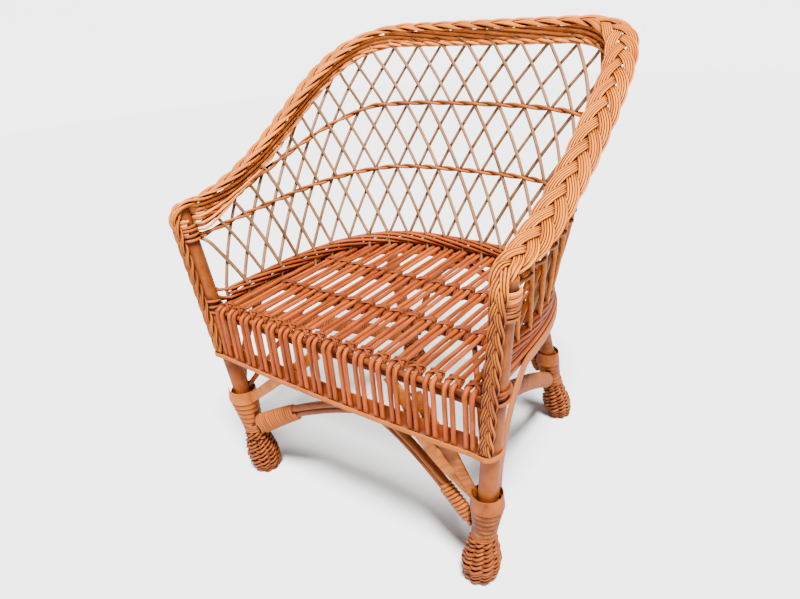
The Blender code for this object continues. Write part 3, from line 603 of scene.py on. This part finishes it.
def leg_binding(row, hand, axis):
    """Split strip wound up the leg in lapped turns that flare into an open cup, over a few turns of thin rod."""
    side = SIDES[hand]
    stout = 0.0012 if (row, hand) == ("front", "left") else 0.0
    flare, cup = (0.0035, 0.014) if row == "front" else (0.0, 0.0)
    height = BINDING_TOP + cup - FOOT_HEIGHT
    turns, steps = 6, 28
    line = []
    for step in range(turns * steps + 1):
        share = step / (turns * steps)
        z = FOOT_HEIGHT + height * (0.22 + 0.63 * share)
        reach = BINDING_FOOT_RADIUS + (BINDING_RADIUS + flare - BINDING_FOOT_RADIUS) * share ** 1.3 - 0.0006 + stout
        tip = 0.0022 * math.sin(2.0 * math.pi * step / steps)
        line.append(ring_point(axis(side, z + tip), (2.0 * math.pi * step / steps + 2.4) * side, reach))
    core = [axis(side, z) for z in np.linspace(FOOT_HEIGHT, BINDING_TOP - 0.016, 6)]
    stocks = [strip(line, 0.0013, 0.0270, -0.10 * side),
              rod(core, np.linspace(BINDING_FOOT_RADIUS - 0.0022, BINDING_RADIUS - 0.0044, 6) + stout)]
    thin = []
    for step in range(4 * 20 + 1):
        z = FOOT_HEIGHT + 0.0010 + 0.0175 * step / 80
        thin.append(ring_point(axis(side, z), 2.0 * math.pi * step / 20, BINDING_FOOT_RADIUS - 0.0002 + stout))
    stocks.append(rod(thin, 0.0023))
    make_piece(f"split_binding_{row}_{hand}", stocks, STRIP_WILLOW, [f"leg_binding_{row}_{hand}"], 12)


# Seat
def seat_frame():
    reach = front_leg(1, SEAT_BAR_Z).x - LEG_RADIUS * 0.6
    edge = [Vector((x, EDGE_Y, EDGE_Z)) for x in np.linspace(-reach, reach, 12)]
    make_piece("front_edge_rod", [rod(drift(edge, 0.0003), EDGE_ROD_RADIUS)], STRIP_WILLOW,
               ["seat_front_bar"], 16)
    bar = [Vector((x, BAR_Y + 0.0045, SEAT_BAR_Z - 0.0095)) for x in np.linspace(-reach, reach, 12)]
    make_piece("front_bar_rod", [rod(drift(bar, 0.0004), SEAT_BAR_RADIUS * 0.9)], SEAT_WILLOW, (), 14)
    lift = Vector((0.0, 0.0, SEAT_BAR_Z))
    hoop = [SEAT_PLAN(share) + lift for share in np.linspace(-1.0, 1.0, 90)]
    make_piece("hoop_rod", [rod(hoop, HOOP_RADIUS)], SEAT_WILLOW, ["seat_hoop"], 14)
    bars = []
    for y in CROSS_BAR_YS:
        reach = SEAT_PLAN.half_width_at(y) - HOOP_RADIUS * 0.5
        bars.append(rod([Vector((x, y, CROSS_BAR_Z)) for x in np.linspace(-reach, reach, 10)], CROSS_BAR_RADIUS))
    make_piece("cross_bar_rods", bars, SEAT_WILLOW, ["seat_cross_bar_1", "seat_cross_bar_2"], 12)


low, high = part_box("seat_pair_01")
OUTER_PAIR_X = abs(low[0] + high[0]) / 2


def pair_centres():
    return np.linspace(-OUTER_PAIR_X, OUTER_PAIR_X, SEAT_PAIRS)


def seat_rod_line(x):
    back = SEAT_PLAN.back_at(min(abs(x), SEAT_HALF_WIDTH - 0.001))
    sway = chance.uniform(-0.0012, 0.0012)
    line = [Vector((x + sway, SKIRT_Y, z)) for z in np.linspace(apron_z(x) - 0.003, EDGE_Z - 0.010, 5)]
    for angle in np.linspace(0.0, math.pi / 2, 7):
        line.append(Vector((x, EDGE_Y - EDGE_BEND * math.cos(angle), EDGE_Z + EDGE_BEND * math.sin(angle))))
    count = 9
    for step in range(1, count + 1):
        y = EDGE_Y + (back - EDGE_Y) * step / count
        wander = 0.0 if step == count else chance.uniform(-0.0008, 0.0008)
        line.append(Vector((x + wander, y, SEAT_ROD_Z + chance.uniform(-0.0003, 0.0004))))
    return flowing(line, 0.006)


def seat_rods():
    for number, centre in enumerate(pair_centres(), start=1):
        stocks = [rod(seat_rod_line(centre + sign * PAIR_HALF), SEAT_ROD_RADIUS * chance.uniform(0.95, 1.05))
                  for sign in (-1, 1)]
        make_piece(f"seat_rods_{number:02d}", stocks, SEAT_WILLOW, [f"seat_pair_{number:02d}"], 10)


def pair_tie(centre, y, lean, low_y, low_z):
    """A tie that climbs beside a pair, crosses over it aslant and goes down on the other side."""
    half = PAIR_HALF + SEAT_ROD_RADIUS + 0.0014
    over = SEAT_ROD_Z + SEAT_ROD_RADIUS + 0.0008
    points = [
        Vector((centre - half * 0.8, low_y, low_z)), Vector((centre - half, y - lean * 0.9, over - 0.0055)),
        Vector((centre - half * 0.55, y - lean * 0.55, over)), Vector((centre + half * 0.55, y + lean * 0.55, over)),
        Vector((centre + half, y + lean * 0.9, over - 0.0055)), Vector((centre + half * 0.8, low_y, low_z))]
    return flowing(points, 0.003)


def seat_ties():
    front = []
    for centre in pair_centres():
        for lean in (-0.0075, 0.0075):
            front.append(rod(pair_tie(centre, EDGE_Y + 0.0095, lean, EDGE_Y, EDGE_Z), 0.0025))
    make_piece("front_ties", front, TIE_WILLOW, (), 6)
    for number, bar_y in enumerate(CROSS_BAR_YS, start=1):
        stocks = []
        reach = SEAT_PLAN.half_width_at(bar_y) - HOOP_RADIUS
        centres = [x for x in pair_centres() if abs(x) + PAIR_HALF < reach]
        for centre in centres:
            for shift in (-0.0039, 0.0, 0.0039):
                stocks.append(rod(pair_tie(centre, bar_y + shift, 0.006, bar_y, CROSS_BAR_Z), 0.0021))
        for first, second in zip(centres, centres[1:]):
            middle = (first + second) / 2
            core = [Vector((middle - 0.008 + 0.004 * step, bar_y, CROSS_BAR_Z)) for step in range(5)]
            wrap = winding(core, (CROSS_BAR_RADIUS + 0.0010, CROSS_BAR_RADIUS + 0.0010), 4, 12)
            stocks.append(rod(wrap, 0.0021))
        make_piece(f"cross_ties_{number}", stocks, TIE_WILLOW, [f"seat_lashing_{number}"], 6)


# Wall
def leg_back(side, z):
    return front_leg(side, z) + Vector((0.0, LEG_RADIUS, 0.0))


def lattice_line(start, way):
    """One lattice rod: from the base band or a front leg, up the wall on its slant, to the rim or a leg."""
    line = []
    offset = way * LATTICE_RADIUS
    if abs(start) <= LATTICE_COLUMNS:
        share = start / LATTICE_COLUMNS
        line = [wall_point(share, -0.034, offset + 0.004), wall_point(share, -0.012, offset + 0.002)]
    row = 0.0
    while True:
        share = (start + way * row) / LATTICE_COLUMNS
        if way * share > 1.0:
            return line + [leg_back(way, line[-1].z + 0.010)] if line else line
        if abs(share) <= 1.0:
            rise = row_rise(row)
            limit = lattice_height(share)
            if rise >= limit:
                return line + [wall_point(share, limit + 0.007, offset)] if line else line
            point = wall_point(share, rise, offset)
            if not line:
                line.append(leg_back(-way, point.z - 0.010))
            line.append(point)
        row += 0.5


def wall_lattice():
    """The slanting rods of the wall; those on the right arm's side take the brighter willow, painted light for the
    light that falls on that side.
    """
    stocks, lit_side_rods = [], []
    for way in (-1, 1):
        for start in range(-LATTICE_COLUMNS - 12, LATTICE_COLUMNS + 14, 2):
            line = lattice_line(start, way)
            if len(line) < 3 or (line[-1] - line[0]).length < SHORTEST_LATTICE_ROD:
                continue
            line = flowing(line, 0.010)
            radius = np.linspace(1.05, 0.95, len(line)) * LATTICE_RADIUS * chance.uniform(0.9, 1.08)
            right_arm = line[0].x > 0.0 and max(point.y for point in line) < 0.10
            (lit_side_rods if right_arm else stocks).append(rod(line, radius))
    make_piece("lattice_rods", stocks, LATTICE_WILLOW, ["wall_lattice"], 8)
    # Painted light: the right arm's lattice rods are drawn with the brighter willow.
    make_piece("right_arm_lattice_rods", lit_side_rods, PAINTED_LIGHT_WILLOW, (), 8)


def twined_lines(rise_of, strands, radius, spread, lift, first_x, pitch, turns):
    """Rods twined along the wall, in and out of the lattice, and on round the front legs."""
    lines = []
    xs = np.linspace(-LATTICE_COLUMNS, LATTICE_COLUMNS, 8 * LATTICE_COLUMNS + 1)
    for strand in range(strands):
        line = []
        for x in xs:
            share = x / LATTICE_COLUMNS
            phase = math.pi * (x - first_x) / pitch + 2.0 * math.pi * strand / strands
            line.append(wall_point(share, rise_of(share) + lift * math.sin(phase), spread * math.cos(phase)))
        lines.append(rod(leg_to_leg(line, turns, 0.004 - 0.006 * strand, radius), radius))
    return lines


def band_rise(share, row, order, leave):
    """Level along the back; from the leave share on it falls straight to the front leg."""
    fall = max(0.0, (abs(share) - leave) / (1.0 - leave))
    low = lattice_height(1.0) - 0.018 * order
    return row_rise(row) + (low - row_rise(row)) * fall ** 1.15


def wall_bands():
    for word, row, order, leave in (("upper", 6, 1, 0.34), ("middle", 3, 2, 0.28)):
        lines = twined_lines(lambda share: band_rise(share, row, order, leave), 2, 0.0030, 0.0060, 0.0026, row % 2, 2.0, 1.3)
        make_piece(f"twined_{word}_band", lines, STRIP_WILLOW,
                   [f"{word}_band_inner", f"{word}_band_outer"], 8)


def rim_gather():
    """The twined row under the plait, the rods that climb from it, laid close along the rim, and tails to the legs."""
    stocks = twined_lines(lambda share: lattice_height(share) - 0.003, 3, 0.0028, 0.0064, 0.0030, 0, 1.6, 0.8)
    count, run = 56, 0.30
    for lay in range(-8, count):
        start = 1.0 - 2.0 * lay / count
        offset = (lay % 3 - 1) * 0.0034
        line = []
        for step in np.linspace(0.0, 1.0, 22):
            share = start - run * step
            if abs(share) <= 1.0:
                low_rise = lattice_height(share) - 0.002
                line.append(wall_point(share, low_rise + (wall_slant(share) - low_rise) * step, offset))
        if len(line) < 3:
            continue
        if start > 1.0:
            line.insert(0, leg_back(1, line[0].z - 0.004))
        if start - run < -1.0:
            line.append(leg_back(-1, line[-1].z + 0.003))
        stocks.append(rod(drift(line, 0.0004), 0.0028 * chance.uniform(0.9, 1.1)))
    for side in (-1, 1):
        for tail in range(5):
            leave, low = 0.79 + 0.022 * tail, lattice_height(1.0) - 0.001 - 0.0062 * tail
            line = []
            for step in np.linspace(0.0, 1.0, 12):
                share = leave + (1.0 - leave) * step
                rise = low + (lattice_height(leave) - low) * (1.0 - step) ** 1.5
                line.append(wall_point(side * share, rise, (tail % 2) * 0.0050 - 0.0080))
            stocks.append(rod(round_leg(drift(line, 0.0006), side, 0.8, -0.002, LEG_RADIUS + 0.0024), 0.0024))
    # The gather rods take the willow with painted fill light.
    make_piece("rim_gather_rods", stocks, GATHER_WILLOW_PAINTED_FILL, ["rim_stake_band"], 6)


def base_band():
    """Rods laid round the seat at the wall's foot, slowly twisted together and ended round the front legs."""
    stocks = []
    shares = np.linspace(-1.0, 1.0, 140)
    rods, radius = 8, 0.0036
    for strand in range(rods):
        line = []
        for share in shares:
            phase = 2.0 * math.pi * (share * 1.3 + strand / rods)
            point = SEAT_PLAN(share) + plan_outward(SEAT_PLAN, share) * 0.0062 * math.cos(phase)
            line.append(point + Vector((0.0, 0.0, 0.4170 + 0.0110 * math.sin(phase))))
        if strand % 3 == 1:
            line = leg_to_leg(line, 1.2, -0.008 - 0.004 * strand, radius * 0.7)
        stocks.append(rod(drift(line, 0.0003), np.interp(np.arange(len(line)), (0, 30, len(line) - 31, len(line) - 1),
                                                         (0.7, 1.0, 1.0, 0.7)) * radius))
    for out, z in ((0.0085, 0.3985), (0.0048, 0.4060)):
        line = [SEAT_PLAN(share) + plan_outward(SEAT_PLAN, share) * out + Vector((0.0, 0.0, z)) for share in shares]
        stocks.append(rod(line, 0.0042))
    make_piece("base_band_rods", stocks, SEAT_WILLOW, ["base_band_lower", "base_band_upper"], 8)


# Plaited rim
def plait_path():
    """Centres, faces and widths from the left apron over the rim to the right one: 0 on the legs, 1 on the arms."""
    ahead = Vector((0.0, -(LEG_RADIUS + PLAIT_HALF_THICKNESS * PLAIT_LEG_SCALE + CLEARANCE), 0.0))
    front = Vector((0.0, -1.0, 0.0))
    half = [(front_leg(1, z) + ahead, front) for z in np.linspace(APRON_Z, ARM_Z - PLAIT_CORNER_RADIUS, 24)]
    corner = half[-1][0] + Vector((0.0, PLAIT_CORNER_RADIUS, 0.0))
    for step in range(1, 7):
        share = step / 6
        angle = math.pi / 2 * share
        point = corner + Vector((0.0, -math.cos(angle), math.sin(angle))) * PLAIT_CORNER_RADIUS
        point.x += (RIM_HALF_WIDTH - point.x) * share
        half.append((point, front.lerp(rim_face(1.0, ARM_PLAIT_TILT), share).normalized()))
    turned = len(half) - 1
    for share in np.linspace(1.0, 0.0, 90):
        tilt = ARM_PLAIT_TILT + (BACK_PLAIT_TILT - ARM_PLAIT_TILT) * backness(share)
        half.append((rim_point(share), rim_face(share, tilt)))
    runs = np.concatenate(([0.0], np.cumsum([(b[0] - a[0]).length for a, b in zip(half, half[1:])])))
    wides = [ease((run - runs[turned] + PLAIT_NARROW_BELOW) / (PLAIT_NARROW_BELOW + PLAIT_WIDE_AFTER)) for run in runs]
    half = [(point, face, wide) for (point, face), wide in zip(half, wides)]
    flip = Vector((-1.0, 1.0, 1.0))
    mirrored = [(point * flip, face * flip, wide) for point, face, wide in half[:-1]]
    return mirrored + half[::-1]


def plaited_rim():
    """Five strands of five rods: each runs along an edge, crosses over and goes under the ones that come back.

    Down the legs three rods of each strand show and two lie behind them.
    """
    path = plait_path()
    points, faces = (np.array([place[index] for place in path]) for index in (0, 1))
    wides = np.array([place[2] for place in path])

    def between(on_leg, on_arm):
        return on_leg + (on_arm - on_leg) * wides

    period = PLAIT_CROSSING * PLAIT_STRANDS
    periods, sways = between(PLAIT_LEG_PERIOD, period), between(0.0076, 0.0184)
    depths, pitches = between(0.0034, 0.0036), between(0.0035, 0.0035)
    early, sinks, bends = between(0.30, 0.0), between(0.0030, 0.0), between(0.95, 0.05)
    steps = np.linalg.norm(np.diff(points, axis=0), axis=1)
    turns = np.concatenate(([0.0], np.cumsum(steps * 2.0 / (periods[1:] + periods[:-1]))))
    whole = math.floor(turns[-1])
    turns *= whole / turns[-1]
    tangents = np.gradient(points, axis=0)
    per_turn = 40
    turn = np.linspace(0.0, whole, whole * per_turn + 1)
    period, sway, depth, pitch, early, sink, bend, wide = (
        np.interp(turn, turns, table) for table in (periods, sways, depths, pitches, early, sinks, bends, wides))

    def level(vectors):
        return vectors / np.linalg.norm(vectors, axis=1)[:, None]

    for strand in range(PLAIT_STRANDS):
        angle = 2.0 * math.pi * (turn + strand / PLAIT_STRANDS)
        swing = np.arcsin(bend * np.sin(angle)) / np.arcsin(bend)
        slope = sway * bend * np.cos(angle) / np.arcsin(bend) / np.sqrt(1.0 - (bend * np.sin(angle)) ** 2) * 2.0 * math.pi / period
        norm = np.hypot(1.0, slope)
        stocks = []
        for on_leg, on_arm in ((-1.0, -2.0), (-0.5, -1.0), (0.0, 0.0), (0.5, 1.0), (1.0, 2.0)):
            place = on_leg + (on_arm - on_leg) * wide
            behind = sink if abs(on_leg) == 0.5 else 0.0
            run = np.clip(turn - place * pitch * slope / norm / period, 0.0, whole)
            centre, face, along = (np.column_stack([np.interp(run, turns, table[:, axis]) for axis in range(3)])
                                   for table in (points, faces, tangents))
            along = level(along)
            face = level(face - along * (face * along).sum(axis=1)[:, None])
            across = np.cross(face, along)
            side_by = sway * swing + place * pitch / norm
            face_by = depth * np.sin(2.0 * angle + early) - 0.0003 * abs(on_leg) - behind
            line = centre + across * side_by[:, None] + face * face_by[:, None]
            stocks.append(rod(line, pitch * 0.51 * chance.uniform(0.96, 1.04)))
        nodes = [f"rim_plait_strand_{strand + 1}"] if strand < 3 else ()
        make_piece(f"plait_rods_{strand + 1}", stocks, PLAIT_WILLOW, nodes, 8)


# Apron, arches, braces and side strip
def apron():
    reach = front_leg(1, APRON_Z).x - 0.020
    outer = [Vector((x, SKIRT_Y - SEAT_ROD_RADIUS - 0.0018, apron_z(x))) for x in np.linspace(-reach, reach, 30)]
    for side in (1, -1):
        leg = front_leg(side, APRON_Z)
        turn = [leg + Vector((side * x, y, 0.0)) for x, y in (
            (-0.006, -0.0275), (0.006, -0.0270), (0.0145, -0.0175), (0.0180, -0.0060), (0.0165, 0.0070))]
        outer = outer + turn if side > 0 else turn[::-1] + outer
    outer = flowing(outer, 0.006)
    make_piece("apron_outer_strip", [strip(outer, 0.0026, 0.0095)], STRIP_WILLOW, ["apron_strip_outer"], 8)
    reach = OUTER_PAIR_X + PAIR_HALF + SEAT_ROD_RADIUS
    inner = [Vector((x, SKIRT_Y + SEAT_ROD_RADIUS + 0.0018, apron_z(x) + 0.008)) for x in np.linspace(-reach, reach, 30)]
    make_piece("apron_inner_strip", [strip(inner, 0.0028, 0.038)], SEAT_WILLOW, ["apron_strip_inner"], 8)


def arch_line(start, middle, end, roundness, crown=0.0, count=41):
    """A bent rod from start to end, whose crown is a share of the half span right of the middle."""
    rise = middle - start.lerp(end, (crown + 1.0) / 2)
    line = []
    for step in np.linspace(-1.0, 1.0, count):
        span = 1.0 + crown if step < crown else 1.0 - crown
        line.append(start.lerp(end, (step + 1.0) / 2) + rise * (1.0 - (abs(step - crown) / span) ** roundness))
    return line


def hung_below(points, distances):
    """A line under another, at one distance or at a distance for each point."""
    moved = []
    for index, (point, distance) in enumerate(zip(points, np.broadcast_to(distances, len(points)))):
        along = points[min(index + 1, len(points) - 1)] - points[max(index - 1, 0)]
        along.normalize()
        down = along * along.z - Vector((0.0, 0.0, 1.0))
        moved.append(point + down.normalized() * float(distance))
    return moved


def stretch(points, first, last):
    """The part of a line between two distances along it; a distance below zero counts from its far end."""
    lengths = [0.0]
    for a, b in zip(points, points[1:]):
        lengths.append(lengths[-1] + (b - a).length)
    first, last = (distance if distance >= 0 else lengths[-1] + distance for distance in (first, last))
    spots = np.linspace(first, last, max(3, round((last - first) / 0.006)))
    table = np.array(points)
    return [Vector([float(np.interp(spot, lengths, table[:, axis])) for axis in range(3)]) for spot in spots]


def wound_rods(name, upper, nodes, wraps, double=True, parting=0.0):
    """One bent rod, or two with one under the other, with split strip wound close over some stretches.

    The parting is how much further the lower rod hangs at the left end, closing over a quarter of the line.
    """
    stocks = [rod(upper, ARCH_RADIUS)]
    part = parting * np.maximum(0.0, 1.0 - 4.0 * np.linspace(0.0, 1.0, len(upper)))
    core, upright = upper, np.full(len(upper), ARCH_RADIUS)
    if double:
        stocks.append(rod(hung_below(upper, ARCH_RADIUS + LOWER_ARCH_RADIUS - 0.0018 + part), LOWER_ARCH_RADIUS))
        core, upright = hung_below(upper, LOWER_ARCH_RADIUS + part / 2), ARCH_RADIUS + LOWER_ARCH_RADIUS + part / 2
    make_piece(f"{name}_rods", stocks, LEG_WILLOW, nodes, 12)
    lengths = np.concatenate(([0.0], np.cumsum([(b - a).length for a, b in zip(core, core[1:])])))
    turns = []
    for first, last, pitch in wraps:
        first, last = (distance if distance >= 0 else lengths[-1] + distance for distance in (first, last))
        run = stretch(core, first, last)
        sunk = 0.0030 - pitch * 0.62
        tall = np.interp(np.linspace(first, last, len(run)), lengths, upright) + sunk
        count = max(2, round((last - first) / pitch))
        turns.append(rod(winding(run, (ARCH_RADIUS + sunk, tall), count, 18), pitch * 0.62))
    make_piece(f"{name}_winding", turns, WINDING_WILLOW, (), 10)


def leg_arch(leg, crown_point, reach, roundness, crown=0.0):
    """An arched stretcher from binding to binding of a pair of legs, its ends run on into the bindings."""
    start, end = (leg(side, ARCH_END_Z) for side in (-1, 1))
    across = (end - start).normalized()
    line = arch_line(start + across * reach, crown_point, end - across * reach, roundness, crown)
    return [start + across * BURIED_REACH, *line, end - across * BURIED_REACH]


def arches():
    crown = Vector((FRONT_ARCH_CROWN * front_leg(1, ARCH_END_Z).x, FRONT_ARCH_Y, FRONT_ARCH_Z))
    upper = leg_arch(front_leg, crown, FRONT_ARCH_REACH, FRONT_ARCH_ROUNDNESS, FRONT_ARCH_CROWN)
    wraps = ((0.010, 0.148, 0.0072), (-0.081, -0.010, 0.0072))
    wound_rods("front_arch", upper, ["front_arch_upper", "front_arch_lower"], wraps, parting=0.014)
    crown = Vector((0.0, SEAT_BACK_Y, SEAT_BAR_Z - HOOP_RADIUS - ARCH_RADIUS))
    upper = leg_arch(rear_leg, crown, BACK_ARCH_REACH, BACK_ARCH_ROUNDNESS)
    wound_rods("back_arch", upper, ["back_arch"], ((0.014, 0.075, 0.0062), (-0.075, -0.014, 0.0062)), False)
    for hand, side in SIDES.items():
        leg = rear_leg(side, ARCH_END_Z)
        top = front_leg(side, SEAT_BAR_Z - HOOP_RADIUS - ARCH_RADIUS)
        top.y += LEG_RADIUS + 2.0 * ARCH_RADIUS
        top.x = side * SEAT_PLAN.half_width_at(top.y)
        ahead = Vector((top.x - leg.x, top.y - leg.y, 0.0)).normalized()
        foot = leg + ahead * STAY_REACH
        bow = (foot + top) / 2 + Vector((0.0, 0.0, STAY_BOW))
        upper = [leg + ahead * BURIED_REACH, *arch_line(foot, bow, top, STAY_ROUNDNESS)]
        wound_rods(f"{hand}_stay", upper, [f"{hand}_stay_upper", f"{hand}_stay_lower"], ((0.010, -0.030, 0.0062),))


def braces():
    """Flat braces from the front cups up behind the skirt: one on the left, two that part upward on the right."""
    flat = []
    back_y = SKIRT_Y + SEAT_ROD_RADIUS + 0.0075
    for places, widths, behind in (
            (((-0.282, 0.172), (-0.212, 0.228), (-0.141, 0.285), (-0.035, 0.368)), (0.018, 0.021, 0.021, 0.020), 0.0),
            (((0.280, 0.172), (0.254, 0.194), (0.212, 0.240), (0.175, 0.283), (0.154, 0.329), (0.118, 0.372)),
             (0.016, 0.020, 0.029, 0.033, 0.028, 0.024), 0.0),
            (((0.280, 0.172), (0.259, 0.206), (0.222, 0.268), (0.188, 0.322), (0.168, 0.357)),
             (0.016, 0.021, 0.033, 0.028, 0.024), 0.0036)):
        knots = [Vector((x, front_leg(1, z).y + (back_y + behind - front_leg(1, z).y) * ease((z - 0.165) / 0.09), z))
                 for x, z in places]
        line = flowing(knots, 0.010)
        taper = np.interp(np.linspace(0.0, 1.0, len(line)), np.linspace(0.0, 1.0, len(widths)), widths) / widths[0]
        flat.append(strip(line, 0.0028, widths[0], 0.0, taper))
    # The braces take the brighter willow, painted light for the front light they lack.
    make_piece("front_brace_strips", flat, PAINTED_LIGHT_WILLOW, ["front_brace_left", "front_brace_right"], 8)
    stocks = []
    for side in (-1, 1):
        leg = front_leg(side, BINDING_TOP - 0.010)
        bar = Vector((leg.x - side * 0.098, CROSS_BAR_YS[0] + 0.008, CROSS_BAR_Z - 0.013))
        stocks.append(rod([leg.lerp(bar, share) for share in np.linspace(0.05, 1.0, 8)], 0.0052))
    make_piece("corner_brace_rods", stocks, SEAT_WILLOW, ["corner_brace_left", "corner_brace_right"], 10)


def side_strip():
    thickness, end_share, hug_share = 0.004, 0.955, 0.8125
    reach = HOOP_RADIUS + thickness / 2 + BEND_CLEARANCE
    hug = LEG_RADIUS + thickness / 2 + BEND_CLEARANCE
    line = []
    for share in np.linspace(-end_share, end_share, 110):
        side = math.copysign(1.0, share)
        point = SEAT_PLAN(share) + plan_outward(SEAT_PLAN, share) * reach + Vector((0.0, 0.0, SEAT_BAR_Z))
        behind = Vector((side, 1.0, 0.0)).normalized()
        end = front_leg(side, BINDING_TOP - 0.004) + behind * hug
        draw = max(0.0, (abs(share) - hug_share) / (end_share - hug_share)) ** 1.75
        line.append(point.lerp(end, draw))
    make_piece("outer_side_strip", [strip(line, thickness, 0.019)], STRIP_WILLOW, ["side_strip"], 8)


for make in (legs, seat_frame, seat_rods, seat_ties, wall_lattice, wall_bands, rim_gather, base_band, plaited_rim,
             apron, arches, braces, side_strip):
    make()
for row, axis in (("front", front_leg), ("rear", rear_leg)):
    for hand in SIDES:
        woven_foot(row, hand, axis)
        leg_binding(row, hand, axis)
# Painted shade: the crevice attribute is worked out for every piece.
paint_crevice_shade()


# Stage
def studio():
    shape = bmesh.new()
    bmesh.ops.create_circle(shape, cap_ends=True, segments=64, radius=6.0)
    rim = bmesh.ops.extrude_edge_only(shape, edges=shape.edges[:])["geom"]
    for vert in [part for part in rim if isinstance(part, bmesh.types.BMVert)]:
        vert.co = Vector((vert.co.x * 9.0, vert.co.y * 9.0, 6.0))
    bmesh.ops.recalc_face_normals(shape, faces=shape.faces)
    mesh = bpy.data.meshes.new("floor")
    shape.to_mesh(mesh)
    shape.free()
    floor = bpy.data.objects.new("floor", mesh)
    bpy.context.scene.collection.objects.link(floor)
    pale = bpy.data.materials.new("pale_floor")
    pale.use_nodes = True
    shader = pale.node_tree.nodes["Principled BSDF"]
    shader.inputs["Base Color"].default_value = (0.55, 0.55, 0.545, 1.0)
    shader.inputs["Roughness"].default_value = 0.9
    mesh.materials.append(pale)

    world = bpy.data.worlds.new("studio")
    world.use_nodes = True
    sky = world.node_tree.nodes["Background"]
    sky.inputs["Color"].default_value = (1.0, 0.99, 0.97, 1.0)
    path = world.node_tree.nodes.new("ShaderNodeLightPath")
    seen = math_node(world.node_tree, "MULTIPLY", path.outputs["Is Camera Ray"], 3.8)
    link(world.node_tree, math_node(world.node_tree, "ADD", seen, 0.32), sky.inputs["Strength"])
    bpy.context.scene.world = world

    sun = bpy.data.lights.new("key", "SUN")
    sun.energy = 25.0
    sun.angle = math.radians(14)
    lamp = bpy.data.objects.new("key", sun)
    lamp.rotation_euler = Vector((-0.28, 0.27, -0.92)).to_track_quat("-Z", "Y").to_euler()
    bpy.context.scene.collection.objects.link(lamp)


def view():
    """The photograph's standpoint: yaw, pitch and roll in radians and the lens on a 36 mm frame."""
    yaw, pitch, roll = 0.6635, 0.4624, 0.0846
    ahead = Vector((-math.sin(yaw) * math.cos(pitch), math.cos(yaw) * math.cos(pitch), -math.sin(pitch)))
    level = Vector((math.cos(yaw), math.sin(yaw), 0.0))
    down = ahead.cross(level)
    right = level * math.cos(roll) + down * math.sin(roll)
    up = level * math.sin(roll) - down * math.cos(roll)
    lens = bpy.data.cameras.new("photo_view")
    lens.sensor_width = 36.0
    lens.lens = 27.87
    camera = bpy.data.objects.new("photo_view", lens)
    turn = Matrix((right, up, -ahead)).transposed().to_4x4()
    camera.matrix_world = Matrix.Translation((0.6529, -0.8973, 0.9204)) @ turn
    bpy.context.scene.collection.objects.link(camera)
    bpy.context.scene.camera = camera


studio()
view()
